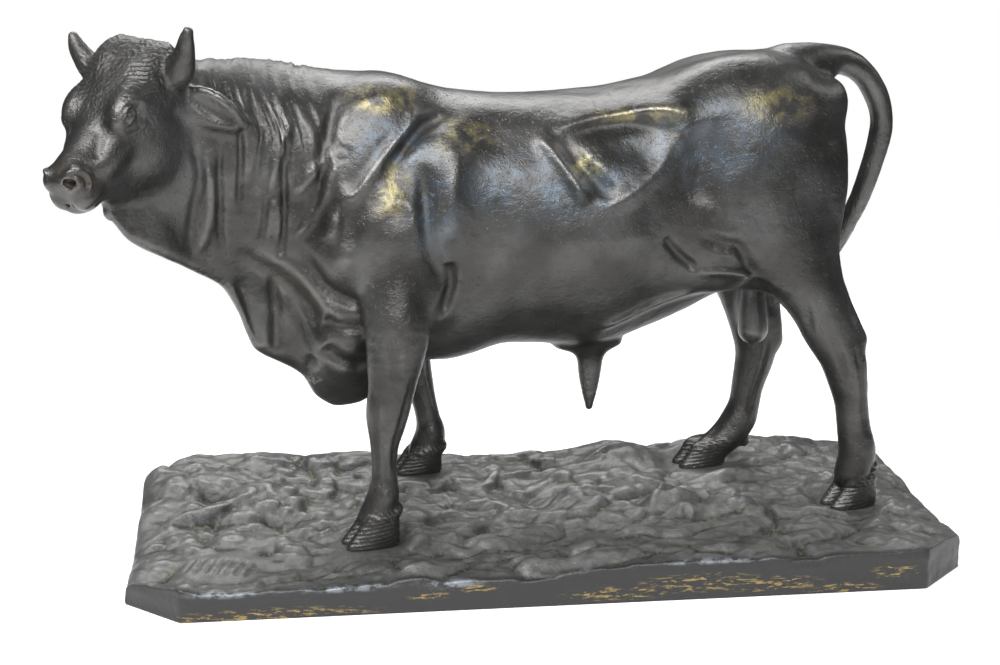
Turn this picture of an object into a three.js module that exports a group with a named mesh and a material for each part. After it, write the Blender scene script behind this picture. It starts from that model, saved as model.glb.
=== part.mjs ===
// A bronze bull standing on a piece of rocky ground.
// Millimetres, +Z up. The origin is the centre of the flat underside of the base.
// The bull faces -X, with its head turned to its left, towards -Y.
import * as THREE from 'three';

// Driving dimensions of the base
const BASE_LENGTH = 340;
const BASE_WIDTH = 134;
const BASE_CORNERS = { frontLeft: 22.4, frontRight: 22.9, backRight: 13.3, backLeft: 19.2 };
const BASE_COLUMNS = 50;
const BASE_ROWS = 20;
const SOLE_GAP = 0.3;

// The ground on the base: its height along the front and back edges as [x, z],
// how it rises between them, and how rough it is at the bull's head and tail ends
const FRONT_EDGE = [[-170, 9], [-147, 12.5], [-138, 10.7], [-91, 10.7], [-72, 12.2], [-58, 14.2],
  [-42, 11.6], [-25, 10.8], [0, 13], [16, 15.3], [72, 15.3], [115, 15.4], [145, 17], [170, 15]];
const BACK_EDGE = [[-170, 25], [-148, 28.5], [-108, 28], [-56, 25.5], [-6, 24], [20, 25],
  [42, 28], [66, 24.5], [82, 28], [108, 28.5], [148, 25.5], [170, 22]];
const GROUND_CURVE = 1.7;
const ROUGH_LEFT = 1.9;
const ROUGH_RIGHT = 0.9;
const LUMPS = [{ size: 27, share: 1, seed: 1 }, { size: 14, share: 0.6, seed: 2 }];
const LUMP_STRETCH = 1.3;
const ROUGH_FROM = 20;
const ROUGH_TO = 110;
const EDGE_CALM = 12;
const SEAT_FADE = 9;
const SEAT_CLEAR = 9.5;
const MOUNDS = [
  { name: 'root knot', at: [58, -8], size: [12, 11], height: 6.5 },
  { name: 'root end', at: [82, -19], size: [13, 5], height: 3 },
  { name: 'stone', at: [17, 10], size: [8, 7], height: 3 },
  { name: 'far stone', at: [44, 48], size: [14, 9], height: 3.5 },
  { name: 'back rise', at: [84, 56], size: [12, 8], height: 1.5 },
  { name: 'left drift', at: [-120, 20], size: [24, 16], height: 2.5 },
  { name: 'front drift', at: [-20, -34], size: [22, 10], height: 2.5 },
  { name: 'left corner', at: [-150, -40], size: [16, 14], height: -2 },
];

// Where the bull stands on the base
const BULL_TURN = THREE.MathUtils.degToRad(3);
const BULL_SHIFT_Y = 12;

// The head's place on the bull and how it is turned
const HEAD_PLACE = [-155.6, -26.5, 203.3];
const HEAD_SCALE = 0.945;
const HEAD_YAW = 49.7;
const HEAD_PITCH = 36.9;
const HEAD_ROLL = 2.5;

// How finely the bull is sampled, how many facets are kept, and where they lie closer
const BULL_BOX = { low: [-206, -75, 8], high: [166, 60, 232] };
const GRID_STEP = 1.8;
const BULL_FACETS = 7200;
const FINE_PLACES = [
  { name: 'head', at: [-170, -38, 190], reach: 58, weight: 5 },
  { name: 'near fore hoof', at: [-74, -38, 22], reach: 26, weight: 2.5 },
  { name: 'far fore hoof', at: [-46, 35.6, 29], reach: 26, weight: 2.5 },
  { name: 'near hind hoof', at: [134, -25.6, 24], reach: 26, weight: 2.5 },
  { name: 'far hind hoof', at: [86, 24.5, 29], reach: 26, weight: 2.5 },
];

// How softly the main parts run into each other
const SOFT_TRUNK_END = 10;
const SOFT_HEAD_END = 5;
const SOFT_DEWLAP = 9;
const SOFT_NECK = 7;
const SOFT_EAR = 3;
const SOFT_EYE = 3;
const SOFT_NOSTRIL = 1.4;
const SOFT_HOOF = 2;

// How far the head, a part of it and a hoof reach, beyond which they needn't be asked about
const HEAD_BALL = { at: [-165, -30, 185], radius: 60 };
const PART_REACH = 16;
const HOOF_REACH = 22;
const HOOF_TOP = 40;

// Lines are drawn only into skin: above the legs, and close to the surface
const SKIN_BAND = 8;
const SKIN_LOW = 78;

// Small maths helpers
const clamp = (v, low, high) => Math.min(high, Math.max(low, v));
const mix = (a, b, t) => a + (b - a) * t;
const radians = THREE.MathUtils.degToRad;

function ramp(low, high, v) {
  const t = clamp((v - low) / (high - low), 0, 1);
  return t * t * (3 - 2 * t);
}

// Joins two distances with a fillet of width k
function join(a, b, k) {
  const h = Math.max(k - Math.abs(a - b), 0) / k;
  return Math.min(a, b) - h * h * k * 0.25;
}

// Keeps what is inside both, with a rounded edge
function meet(a, b, k) {
  return -join(-a, -b, k);
}

// Takes b away from a, with a rounded edge
function carve(a, b, k) {
  return -join(-a, b, k);
}

// A smooth curve through (x, value) pairs that never overshoots them
function track(xs, values) {
  const n = xs.length;
  const slopes = [];
  for (let i = 0; i < n - 1; i += 1) slopes.push((values[i + 1] - values[i]) / (xs[i + 1] - xs[i]));
  const tangents = [slopes[0]];
  for (let i = 1; i < n - 1; i += 1) {
    const flat = slopes[i - 1] * slopes[i] <= 0;
    tangents.push(flat ? 0 : 2 / (1 / slopes[i - 1] + 1 / slopes[i]));
  }
  tangents.push(slopes[n - 2]);
  return (x) => {
    if (x <= xs[0]) return values[0];
    if (x >= xs[n - 1]) return values[n - 1];
    let i = 0;
    while (x > xs[i + 1]) i += 1;
    const width = xs[i + 1] - xs[i];
    const t = (x - xs[i]) / width;
    const a = values[i] * (1 + 2 * t) * (1 - t) * (1 - t);
    const b = values[i + 1] * t * t * (3 - 2 * t);
    const c = tangents[i] * width * t * (1 - t) * (1 - t);
    const d = tangents[i + 1] * width * t * t * (t - 1);
    return a + b + c + d;
  };
}

const frontEdge = track(FRONT_EDGE.map((p) => p[0]), FRONT_EDGE.map((p) => p[1]));
const backEdge = track(BACK_EDGE.map((p) => p[0]), BACK_EDGE.map((p) => p[1]));

// The trunk is a row of cross sections along the bull, from nape to buttock.
// ridge: top of the back, wide: height of the widest place, keel: lowest line,
// half: half width, crown and sag: squareness above and below, middle: sideways shift.
const TRUNK = [
  { x: -156, ridge: 201, wide: 186, keel: 160, half: 13, crown: 2.1, sag: 2.0, middle: -27 },
  { x: -148, ridge: 206, wide: 184, keel: 148, half: 16, crown: 2.1, sag: 2.0, middle: -22 },
  { x: -134, ridge: 208.5, wide: 180, keel: 131, half: 20, crown: 2.0, sag: 2.0, middle: -14 },
  { x: -114, ridge: 208.3, wide: 172, keel: 113, half: 26, crown: 1.9, sag: 2.0, middle: -6 },
  { x: -92, ridge: 204.5, wide: 160, keel: 98, half: 32, crown: 1.8, sag: 2.1, middle: -1 },
  { x: -68, ridge: 202, wide: 152, keel: 86, half: 35, crown: 1.8, sag: 2.2, middle: 0 },
  { x: -42, ridge: 196.5, wide: 148, keel: 83, half: 38, crown: 2.0, sag: 2.2, middle: 0 },
  { x: -12, ridge: 193.8, wide: 144, keel: 89.5, half: 42, crown: 2.2, sag: 2.1, middle: 0 },
  { x: 20, ridge: 195.5, wide: 144, keel: 87, half: 42, crown: 2.3, sag: 2.0, middle: 0 },
  { x: 48, ridge: 200.5, wide: 152, keel: 94.5, half: 37, crown: 2.5, sag: 2.0, middle: 0 },
  { x: 72, ridge: 206.5, wide: 164, keel: 105, half: 33, crown: 2.5, sag: 2.1, middle: 0 },
  { x: 96, ridge: 210, wide: 172, keel: 118, half: 30, crown: 2.3, sag: 2.2, middle: 0 },
  { x: 116, ridge: 208, wide: 172, keel: 130, half: 24, crown: 2.1, sag: 2.2, middle: 0 },
  { x: 127, ridge: 201, wide: 172, keel: 138, half: 17, crown: 2.0, sag: 2.2, middle: 0 },
];

// The dewlap is a curtain of skin under the throat and down to the brisket:
// edge: its lowest line, thick: half thickness, top: where it leaves the neck.
const DEWLAP = [
  { x: -171, edge: 151, thick: 3, top: 174, middle: -42 },
  { x: -165, edge: 142.5, thick: 3.5, top: 172, middle: -37 },
  { x: -153, edge: 135, thick: 4.5, top: 166, middle: -31 },
  { x: -142, edge: 128, thick: 5, top: 160, middle: -22 },
  { x: -131, edge: 120, thick: 5.5, top: 150, middle: -14 },
  { x: -125, edge: 108.5, thick: 6, top: 146, middle: -10 },
  { x: -119, edge: 93, thick: 6, top: 142, middle: -7 },
  { x: -108, edge: 86, thick: 6.5, top: 136, middle: -4 },
  { x: -100, edge: 81, thick: 7.5, top: 128, middle: -2 },
  { x: -94, edge: 71.5, thick: 9, top: 122, middle: 0 },
  { x: -85, edge: 67, thick: 11, top: 118, middle: 0 },
  { x: -74, edge: 69, thick: 12, top: 112, middle: 0 },
  { x: -64, edge: 77, thick: 11, top: 106, middle: 0 },
];

// Rounded forms of muscle and bone that lie alike on both sides of the trunk.
// at: centre, size: half extents, lean: degrees the top leans back, soft: width of the fillet.
const PAIRED = [
  { name: 'shoulder blade', at: [-72, 19, 163], size: [16, 16, 36], lean: 14, soft: 14 },
  { name: 'blade cap', at: [-65, 11, 188], size: [14, 9, 7], lean: 0, soft: 16 },
  { name: 'shoulder point', at: [-83, 25, 133], size: [11, 12, 15], lean: 14, soft: 10 },
  { name: 'triceps', at: [-64, 27, 141], size: [14, 13, 21], lean: -14, soft: 10 },
  { name: 'elbow', at: [-50, 31, 115], size: [6, 6.5, 10], lean: -20, soft: 9 },
  { name: 'chest', at: [-83, 13, 100], size: [14, 15, 22], lean: 0, soft: 12 },
  { name: 'neck cord', at: [-106, 15, 178], size: [26, 12, 14], lean: -4, soft: 14 },
  { name: 'rib bow', at: [-44, 22, 152], size: [12, 17, 28], lean: 6, soft: 16 },
  { name: 'hip bone', at: [51, 24, 186], size: [8, 8, 5], lean: 0, soft: 14 },
  { name: 'rump', at: [84, 18, 186], size: [30, 15, 20], lean: 0, soft: 14 },
  { name: 'thigh', at: [84, 22, 152], size: [26, 14.5, 40], lean: -10, soft: 14 },
  { name: 'stifle', at: [68, 26, 133], size: [13, 9, 16], lean: -12, soft: 12 },
  { name: 'buttock', at: [110.5, 15, 155], size: [18.5, 12, 42], lean: -3, soft: 12 },
  { name: 'pin bone', at: [120, 12, 191], size: [8, 6, 8], lean: 0, soft: 10 },
  { name: 'flank fold', at: [56, 25, 122], size: [16, 5, 6], lean: 8, soft: 10 },
];

// Forms on the middle line
const MIDDLE = [
  { name: 'tail head', at: [112, 0, 203], size: [18, 7, 8], lean: 0, soft: 6 },
  { name: 'belly sheath', at: [23, 0, 87], size: [14, 5, 4], lean: 0, soft: 6 },
];

// Limbs are chains of tapering lengths; each ring is [x, y, z, radius, flatness across].
const LIMBS = [
  { name: 'near fore leg', soft: 6, path: [
    [-64, -30, 124, 14, 1.1], [-63.5, -36, 103, 13, 1.15], [-66, -38, 82, 9.6, 1.1],
    [-68.2, -38, 69, 8.4, 1.05], [-69.3, -38, 57, 5.8, 1.05], [-69.6, -38, 45, 5.1, 1.05],
    [-70.2, -38, 35.5, 6.5, 1.0], [-73.4, -38, 28, 6.6, 1.0]] },
  { name: 'far fore leg', soft: 6, path: [
    [-58, 30, 124, 14, 1.1], [-54, 34, 103, 12.5, 1.15], [-51, 35, 84, 9.2, 1.1],
    [-49, 35.5, 74, 8, 1.05], [-45, 35.6, 60, 5.8, 1.05], [-42.4, 35.6, 48, 5.4, 1.05],
    [-41.3, 35.6, 40, 6.7, 1.0], [-44.3, 35.6, 33, 6.4, 1.0]] },
  { name: 'near hind leg', soft: 7, path: [
    [99, -21, 134, 19, 1.5], [113.5, -24, 110, 12.8, 1.3], [121.5, -25, 95, 11.6, 1.3],
    [127, -25.5, 84, 10, 1.2], [130, -25.6, 75, 8.9, 1.15], [132.5, -25.6, 63, 7.3, 1.15],
    [134.5, -25.6, 50, 7.2, 1.1], [136.3, -25.6, 40, 8, 1.05], [134, -25.6, 31, 7.2, 1.0]] },
  { name: 'far hind leg', soft: 7, path: [
    [90, 19, 134, 18, 1.5], [99.5, 23, 106, 12.8, 1.35], [105.5, 24, 86, 10.8, 1.3],
    [106.5, 24.5, 74, 9.2, 1.2], [103.5, 24.5, 60, 7.4, 1.15], [102, 24.5, 51, 7, 1.1],
    [99.5, 24.5, 43, 7.8, 1.05], [94, 24.5, 35.5, 7.4, 1.0], [88, 24.5, 31, 6.6, 1.0]] },
  { name: 'near hamstring', soft: 5, path: [
    [117, -17, 132, 8, 1.2], [124.8, -23, 108, 4.2, 1.1], [133.5, -25, 90, 4, 1.1]] },
  { name: 'far hamstring', soft: 5, path: [
    [112, 16, 130, 8, 1.2], [111.5, 22, 100, 4.2, 1.1], [114.5, 24, 80, 4, 1.1]] },
  { name: 'tail', soft: 4, path: [
    [108, 0, 205, 7.5, 1], [123, 1.5, 206.5, 6.4, 1], [135, 4, 205, 5.6, 1], [144.5, 7, 200, 5.3, 1],
    [152.5, 9.5, 190, 5.1, 1], [156, 11, 179, 5, 1], [155, 12.5, 167, 4.8, 1], [152, 14, 154, 4.5, 1],
    [148, 16, 141, 4.1, 1], [142, 18, 128, 4.1, 1], [134, 20.5, 116, 5.2, 1],
    [127, 22.5, 105, 4.6, 1], [123, 24, 96, 2, 1]] },
  { name: 'sheath', soft: 5, path: [
    [23.5, 0, 86, 6, 1.1], [23.5, 0, 73, 4.8, 1.1], [23.4, 0, 59, 1.7, 1]] },
  { name: 'near testicle', soft: 4, path: [
    [97, 5, 118, 4, 1], [98, 6, 100, 6, 1], [98.5, 6, 89, 6.6, 1]] },
  { name: 'far testicle', soft: 4, path: [
    [98, 15, 118, 4, 1], [100, 14, 100, 6, 1], [101, 14, 92, 6.2, 1]] },
];

// Hooves: the middle of the sole, half its length, half its width, the coronet's height,
// and how many degrees the toe is turned to the bull's left. Each has two claws.
const HOOVES = [
  { name: 'near fore', at: [-76.3, -38, 15], length: 11.8, half: 8.6, height: 14.5, turn: 10 },
  { name: 'far fore', at: [-48, 35.6, 22.5], length: 11.3, half: 8.4, height: 12, turn: 6 },
  { name: 'near hind', at: [132.6, -25.6, 16], length: 11.7, half: 8.6, height: 14, turn: 12 },
  { name: 'far hind', at: [80.3, 24.5, 22.5], length: 12, half: 8.4, height: 12, turn: 8 },
];
const TOE_SLANT = 0.4;
const SIDE_SLANT = 0.08;
const CLAW_MIDDLE = 0.46;
const CLAW_HALF = 0.56;

// The pair of small claws behind each fetlock
const DEWCLAWS = [
  { name: 'near fore', at: [-65.4, -38, 30], size: [2.8, 4.6, 2.6], lean: 0, soft: 1.6 },
  { name: 'far fore', at: [-37, 35.6, 34], size: [2.8, 4.4, 2.6], lean: 0, soft: 1.6 },
  { name: 'near hind', at: [142.4, -25.6, 34], size: [3.4, 4.8, 2.8], lean: 0, soft: 1.6 },
  { name: 'far hind', at: [101.5, 24.5, 33], size: [3, 4.6, 2.8], lean: 0, soft: 1.6 },
];

// Lines drawn on both flanks, seen from the side as [x, z]: a ridge stands out, a groove lies in.
const FLANK_LINES = [
  { name: 'loin edge', width: 3.4, height: 1.5,
    path: [[-6, 180], [8, 184], [27, 187], [45, 189], [58, 185]] },
  { name: 'under the loin', width: 3.8, height: -1.6,
    path: [[2, 176], [20, 181], [36, 182], [50, 181]] },
  { name: 'last rib', width: 3, height: 1.8,
    path: [[-8, 181], [-3.7, 176.3], [2.8, 167.7], [8.1, 159.1], [12, 152]] },
  { name: 'behind the last rib', width: 3.8, height: -2,
    path: [[1.1, 178.4], [9, 168.5], [17, 159.5], [23.3, 153]] },
  { name: 'flank cushion', width: 6, height: 1, path: [[10, 172], [20, 168], [38, 166]] },
  { name: 'front of the thigh', width: 4.2, height: 2.2,
    path: [[58, 186], [48, 174], [39, 163], [29, 155], [16, 150]] },
  { name: 'thigh swell', width: 10, height: 1.4, path: [[98, 186], [86, 169], [66, 148]] },
  { name: 'hip dip', width: 8, height: -1.6, path: [[58, 184], [62, 168], [57, 150]] },
  { name: 'before the shoulder', width: 3, height: -2.4,
    path: [[-82, 198], [-86, 189], [-88.8, 180], [-91, 170], [-93, 157], [-96, 146], [-101, 138]] },
  { name: 'blade rim', width: 2.8, height: 0.6,
    path: [[-86, 174], [-84.5, 184], [-80, 189], [-73, 193], [-66, 195], [-59, 193]] },
  { name: 'blade spine', width: 2.2, height: 1.8,
    path: [[-55, 194], [-56.4, 184.5], [-61, 179], [-69, 170.4], [-78, 158.9], [-82, 152]] },
  { name: 'before the spine', width: 2.6, height: -0.7,
    path: [[-63, 182], [-69.5, 174], [-76, 166], [-83, 156]] },
  { name: 'behind the blade', width: 3, height: -2.7,
    path: [[-36, 186], [-45, 184.4], [-51.7, 182], [-56.6, 178], [-61, 173], [-65.6, 167], [-70, 160]] },
  { name: 'arm bulge', width: 3, height: 0.8,
    path: [[-77, 137], [-75, 145], [-66, 153.5], [-61.4, 154.6], [-57.4, 150.6], [-57, 142], [-60, 130]] },
  { name: 'behind the arm', width: 3.4, height: -2,
    path: [[-52, 170], [-52, 152], [-51, 138], [-44, 118]] },
  { name: 'shoulder front', width: 3, height: 1.5, path: [[-80, 162], [-86.5, 150], [-90, 138]] },
  { name: 'rib swell', width: 5, height: 1.9, path: [[-39, 182], [-42, 160], [-43, 136]] },
  { name: 'under the shoulder', width: 3, height: -2.4,
    path: [[-102, 138], [-96, 129], [-89, 120], [-82, 115], [-75, 114], [-67, 121]] },
  { name: 'elbow fold', width: 2.4, height: -2.2, path: [[-43, 131], [-42, 120], [-48, 106]] },
  { name: 'stifle crease', width: 2.6, height: -2,
    path: [[58, 138], [70, 134], [77, 132], [86, 119], [98, 113]] },
  { name: 'flank crease', width: 1.7, height: -1.6, path: [[45, 138], [50.8, 130.9], [61.2, 122.3]] },
  { name: 'rump valley', width: 5, height: -1.2, path: [[120, 176], [119, 153], [116, 132]] },
  { name: 'groin', width: 3.4, height: 1.1, path: [[10, 95], [32, 103], [47, 109], [66, 114]] },
  { name: 'chest fold', width: 2.8, height: -2.4,
    path: [[-126, 136], [-113, 127], [-103, 118], [-95, 107], [-92, 94]] },
  { name: 'chest ridge', width: 3, height: 1.5, path: [[-118, 136], [-104, 127], [-93, 114], [-82, 102]] },
  { name: 'under the arm', width: 2.8, height: -1.5, path: [[-92, 107], [-85, 104], [-72, 102]] },
  { name: 'curtain fold', width: 2.4, height: -2, path: [[-112, 126], [-110, 108], [-111, 88]] },
  { name: 'curtain edge fold', width: 2.2, height: -1.6, path: [[-125, 124], [-121, 108], [-117, 92]] },
  { name: 'over the brisket', width: 3, height: -2,
    path: [[-92, 96], [-84, 89], [-70, 87]] },
  { name: 'long neck fold', width: 1.8, height: 1.5,
    path: [[-85, 174], [-90, 159], [-96, 148], [-104, 138]] },
  { name: 'curtain of the mane', width: 2.2, height: 1.3,
    path: [[-86, 178], [-89.6, 171.3], [-94.8, 165.9], [-99.6, 160.5], [-104, 153]] },
  { name: 'bright neck fold', width: 2, height: 1.7,
    path: [[-102, 190], [-106, 178.5], [-108.6, 171], [-110.5, 163], [-111, 156]] },
  { name: 'first neck groove', width: 1.4, height: -1.7,
    path: [[-104, 178], [-105.8, 167], [-106.2, 154.3], [-106.8, 140.5], [-109, 130]] },
  { name: 'second neck groove', width: 1.4, height: -1.5,
    path: [[-121, 192], [-122.2, 180.4], [-122.5, 170.3], [-123.2, 161], [-124, 148]] },
  { name: 'third neck groove', width: 1.4, height: -1.4,
    path: [[-129, 180], [-130.6, 169.7], [-130.7, 154.9], [-131.2, 142.3], [-129, 130]] },
  { name: 'short neck groove', width: 1.3, height: -1.2, path: [[-114, 184], [-115.4, 174], [-117, 162]] },
  { name: 'low neck groove', width: 1.3, height: -1.2, path: [[-113, 158], [-114, 148], [-116, 136]] },
  { name: 'below the mane', width: 4, height: -1.1,
    path: [[-123, 165], [-114, 161], [-106, 157], [-97, 153]] },
  { name: 'throat fold', width: 2, height: -1.6,
    path: [[-141, 182], [-138, 166], [-141, 152], [-144, 134]] },
  { name: 'throat ridge', width: 2.2, height: 1.3,
    path: [[-136, 176], [-134, 160], [-136, 144], [-141, 132]] },
  { name: 'groin ridge', width: 1.6, height: 1.4, path: [[19, 97], [32, 103], [47, 109], [62, 113]] },
  { name: 'flank fold edge', width: 1.8, height: 1.4,
    path: [[58, 122], [70, 122], [82, 120], [93, 116], [108, 107]] },
  { name: 'brisket fold', width: 2.2, height: -1.2, path: [[-95, 90], [-97, 81], [-93, 76]] },
];

// Broad hollows on both flanks: depth is how far the middle lies in; below nothing it is a swell
const FLANK_HOLLOWS = [
  { name: 'flank', at: [31, 172], size: [15, 10], depth: 3.2 },
  { name: 'beside the tail', at: [118, 201], size: [7, 5], depth: 2.6 },
  { name: 'loin', at: [20, 197], size: [24, 5], depth: 0.8 },
  { name: 'hind ribs', at: [-22, 178], size: [16, 8], depth: 1.2 },
  { name: 'pin', at: [108, 190], size: [9, 7], depth: 1.2 },
  { name: 'arm', at: [-66, 138], size: [10, 13], depth: -2.8 },
  { name: 'flank swell', at: [8, 138], size: [20, 14], depth: -2 },
  { name: 'small flank swell', at: [33, 138], size: [8, 7], depth: -1.2 },
  { name: 'point of the shoulder', at: [-83, 133], size: [5, 6], depth: -1.6 },
  { name: 'front of the shoulder', at: [-87.5, 146], size: [3.6, 5], depth: -1 },
  { name: 'low neck', at: [-113, 149], size: [7, 9], depth: -1 },
];

// The head is a row of cross sections from poll to muzzle, in its own frame:
// x forward to the muzzle, y out to each side, z up from the brow.
const HEAD = [
  { x: -9, ridge: 11, wide: -3, keel: -18, half: 14, crown: 2.4, sag: 2.0 },
  { x: 0, ridge: 15.5, wide: 1, keel: -24, half: 17.4, crown: 2.7, sag: 2.0 },
  { x: 10, ridge: 15.8, wide: 3, keel: -29, half: 19, crown: 3, sag: 2.0 },
  { x: 20, ridge: 14, wide: 3, keel: -32, half: 19.2, crown: 3, sag: 1.9 },
  { x: 29, ridge: 12, wide: 2, keel: -33, half: 17.4, crown: 2.9, sag: 1.8 },
  { x: 37, ridge: 8.8, wide: 0, keel: -31, half: 14.2, crown: 2.6, sag: 1.8 },
  { x: 44, ridge: 6, wide: -2, keel: -25.5, half: 11.4, crown: 2.5, sag: 1.9 },
  { x: 51, ridge: 4.8, wide: -4, keel: -20.5, half: 10.2, crown: 2.5, sag: 2.1 },
  { x: 56, ridge: 5.2, wide: -4.5, keel: -17.4, half: 9.4, crown: 2.8, sag: 2.5 },
  { x: 60.6, ridge: 4.8, wide: -5, keel: -16, half: 8.9, crown: 3.2, sag: 3 },
  { x: 65.4, ridge: 3.4, wide: -5.2, keel: -14, half: 8.2, crown: 3.2, sag: 3.2 },
];
const HEAD_PAIRED = [
  { name: 'poll hair', at: [4, 9.8, 5], size: [11, 7.2, 9.2], lean: 0, soft: 5 },
  { name: 'brow', at: [29.5, 13.4, 8], size: [8, 4.2, 4], lean: 14, soft: 6 },
  { name: 'cheekbone', at: [40, 9.4, -2.6], size: [11, 4.4, 5], lean: 14, soft: 5 },
  { name: 'cheek', at: [25, 9.4, -15.5], size: [11.5, 6.6, 13], lean: -16, soft: 6 },
  { name: 'nostril wing', at: [61, 5.6, -0.6], size: [4.8, 3.6, 4.8], lean: 0, soft: 2.5 },
  { name: 'lip', at: [60, 5.4, -8.2], size: [6.6, 4.2, 4.2], lean: 14, soft: 3 },
];
const HEAD_MIDDLE = [
  { name: 'poll dome', at: [4, -7, 8.4], size: [12, 9, 10.8], lean: 0, soft: 5 },
  { name: 'nose bridge', at: [46, 0, 3.4], size: [11, 5.2, 3.4], lean: 8, soft: 5 },
  { name: 'far lip', at: [60, -7.6, -8], size: [5, 5.4, 4.6], lean: 10, soft: 3 },
  { name: 'chin', at: [59.6, -1, -12.8], size: [6.2, 7.4, 3], lean: 10, soft: 1.6 },
];
const EYE_HOLLOW = { at: [31, 18.6, 5.4], size: [4.8, 2.6, 3.2], lean: 10 };
const EYEBALL = { name: 'eyeball', at: [31, 15.2, 5.2], size: [3.4, 2.5, 2.5], lean: 10, soft: 0.5 };
const HORNS = [
  { name: 'near horn', soft: 2, path: [
    [4.5, 14, 2, 6.4, 1], [3, 20.5, 4.4, 6.3, 1], [1.8, 24.2, 8, 5.1, 1],
    [0.2, 27, 12, 3.8, 1], [-1.4, 29, 16, 2.7, 1], [-3, 30.5, 18.6, 1.6, 1]] },
  { name: 'far horn', soft: 2, path: [
    [9, -13, 7, 6, 1], [8, -18.4, 10.4, 5.3, 1], [6.4, -21.4, 14.4, 4.3, 1],
    [4.8, -23.2, 18.6, 3.3, 1], [3, -24, 22.4, 2, 1]] },
];
// Ears: a leaf hollowed on its front. along: from root to tip, face: the way its hollow looks.
// It curls across, narrows to its tip, and the bowl takes up a part of its length, width and thickness.
const EAR_CURL = 0.035;
const EAR_NARROWS = 0.018;
const EAR_BOWL = { part: [0.86, 0.68, 0.66], soft: 1.4 };
const EARS = [
  { name: 'near ear', at: [0, 24.6, -17.4], along: [-4, 13.8, -18.5], face: [0.75, 0.6, 0.3],
    size: [13.2, 6.4, 3.6] },
  { name: 'far ear', at: [0, -24.6, -16], along: [-4, -14, -17], face: [0.75, -0.6, 0.3],
    size: [13.2, 6.4, 3.6] },
];
// Lines on the head, alike on both sides
const HEAD_LINES = [
  { name: 'mouth', width: 1, height: -1.4,
    path: [[66, 0, -9.2], [64, 4, -10.2], [60.6, 7.2, -12.4], [56, 9, -15]] },
  { name: 'face crease', width: 1.9, height: -1.2,
    path: [[37, 10, 7.4], [42, 9.2, 5.6], [47, 8.8, 3], [51.4, 9.2, 0.6]] },
  { name: 'jaw edge', width: 3, height: -1.2, path: [[14, 17, -4], [13, 15, -16], [20, 12.5, -28]] },
  { name: 'behind the mouth', width: 2.4, height: -1.3,
    path: [[56, 9.8, -14.6], [51, 10.2, -17.6], [46, 9.8, -23]] },
];
const NOSTRILS = [
  { name: 'near nostril', at: [64, 5.4, 0.6], size: [2.2, 2.6, 1.8], lean: 20 },
  { name: 'far nostril', at: [60.6, -8.4, 0.6], size: [2.2, 2, 1.8], lean: 20 },
];

function rotation(yaw, pitch, roll) {
  const cy = Math.cos(radians(yaw));
  const sy = Math.sin(radians(yaw));
  const cp = Math.cos(radians(pitch));
  const sp = Math.sin(radians(pitch));
  const cr = Math.cos(radians(roll));
  const sr = Math.sin(radians(roll));
  const forward = [-cy * cp, -sy * cp, -sp];
  const left = [sy, -cy, 0];
  const up = [-cy * sp, -sy * sp, cp];
  const left2 = left.map((v, i) => v * cr + up[i] * sr);
  const up2 = up.map((v, i) => v * cr - left[i] * sr);
  return [forward, left2, up2];
}
const HEAD_AXES = rotation(HEAD_YAW, HEAD_PITCH, HEAD_ROLL);

function unit(v) {
  const length = Math.hypot(...v);
  return v.map((c) => c / length);
}

function cross(a, b) {
  return [a[1] * b[2] - a[2] * b[1], a[2] * b[0] - a[0] * b[2], a[0] * b[1] - a[1] * b[0]];
}

// Reads a row of stations as smooth curves, sampled at every millimetre
function tabulate(stations, keys) {
  const xs = stations.map((s) => s.x);
  const start = xs[0];
  const end = xs[xs.length - 1];
  const table = { start, end };
  for (const key of keys) {
    const curve = track(xs, stations.map((s) => s[key]));
    table[key] = [];
    for (let x = start; x <= end + 1; x += 1) table[key].push(curve(x));
  }
  return table;
}

function readTable(table, key, x) {
  const list = table[key];
  const place = clamp(x - table.start, 0, list.length - 1.001);
  const i = Math.floor(place);
  return mix(list[i], list[i + 1], place - i);
}
const trunkTable = tabulate(TRUNK, ['ridge', 'wide', 'keel', 'half', 'crown', 'sag', 'middle']);
const headTable = tabulate(HEAD, ['ridge', 'wide', 'keel', 'half', 'crown', 'sag']);
const dewlapTable = tabulate(DEWLAP, ['edge', 'thick', 'top', 'middle']);

// Distance to a rounded form with half extents size
function egg(x, y, z, form) {
  const cx = x - form.at[0];
  const dy = y - form.at[1];
  const cz = z - form.at[2];
  const dx = cx * form.cos - cz * form.sin;
  const dz = cx * form.sin + cz * form.cos;
  return eggDistance(dx, dy, dz, form.size);
}

function eggDistance(dx, dy, dz, size) {
  const [rx, ry, rz] = size;
  const a = Math.hypot(dx / rx, dy / ry, dz / rz);
  const b = Math.hypot(dx / (rx * rx), dy / (ry * ry), dz / (rz * rz));
  return b < 1e-9 ? -Math.min(rx, ry, rz) : (a * (a - 1)) / b;
}

function prepare(forms) {
  for (const form of forms) {
    form.cos = Math.cos(radians(form.lean));
    form.sin = Math.sin(radians(form.lean));
    form.reach = Math.max(...form.size);
  }
}
prepare(PAIRED);
prepare(MIDDLE);
prepare(HEAD_PAIRED);
prepare(HEAD_MIDDLE);
prepare(DEWCLAWS);
prepare([...NOSTRILS, EYE_HOLLOW, EYEBALL]);

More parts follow.
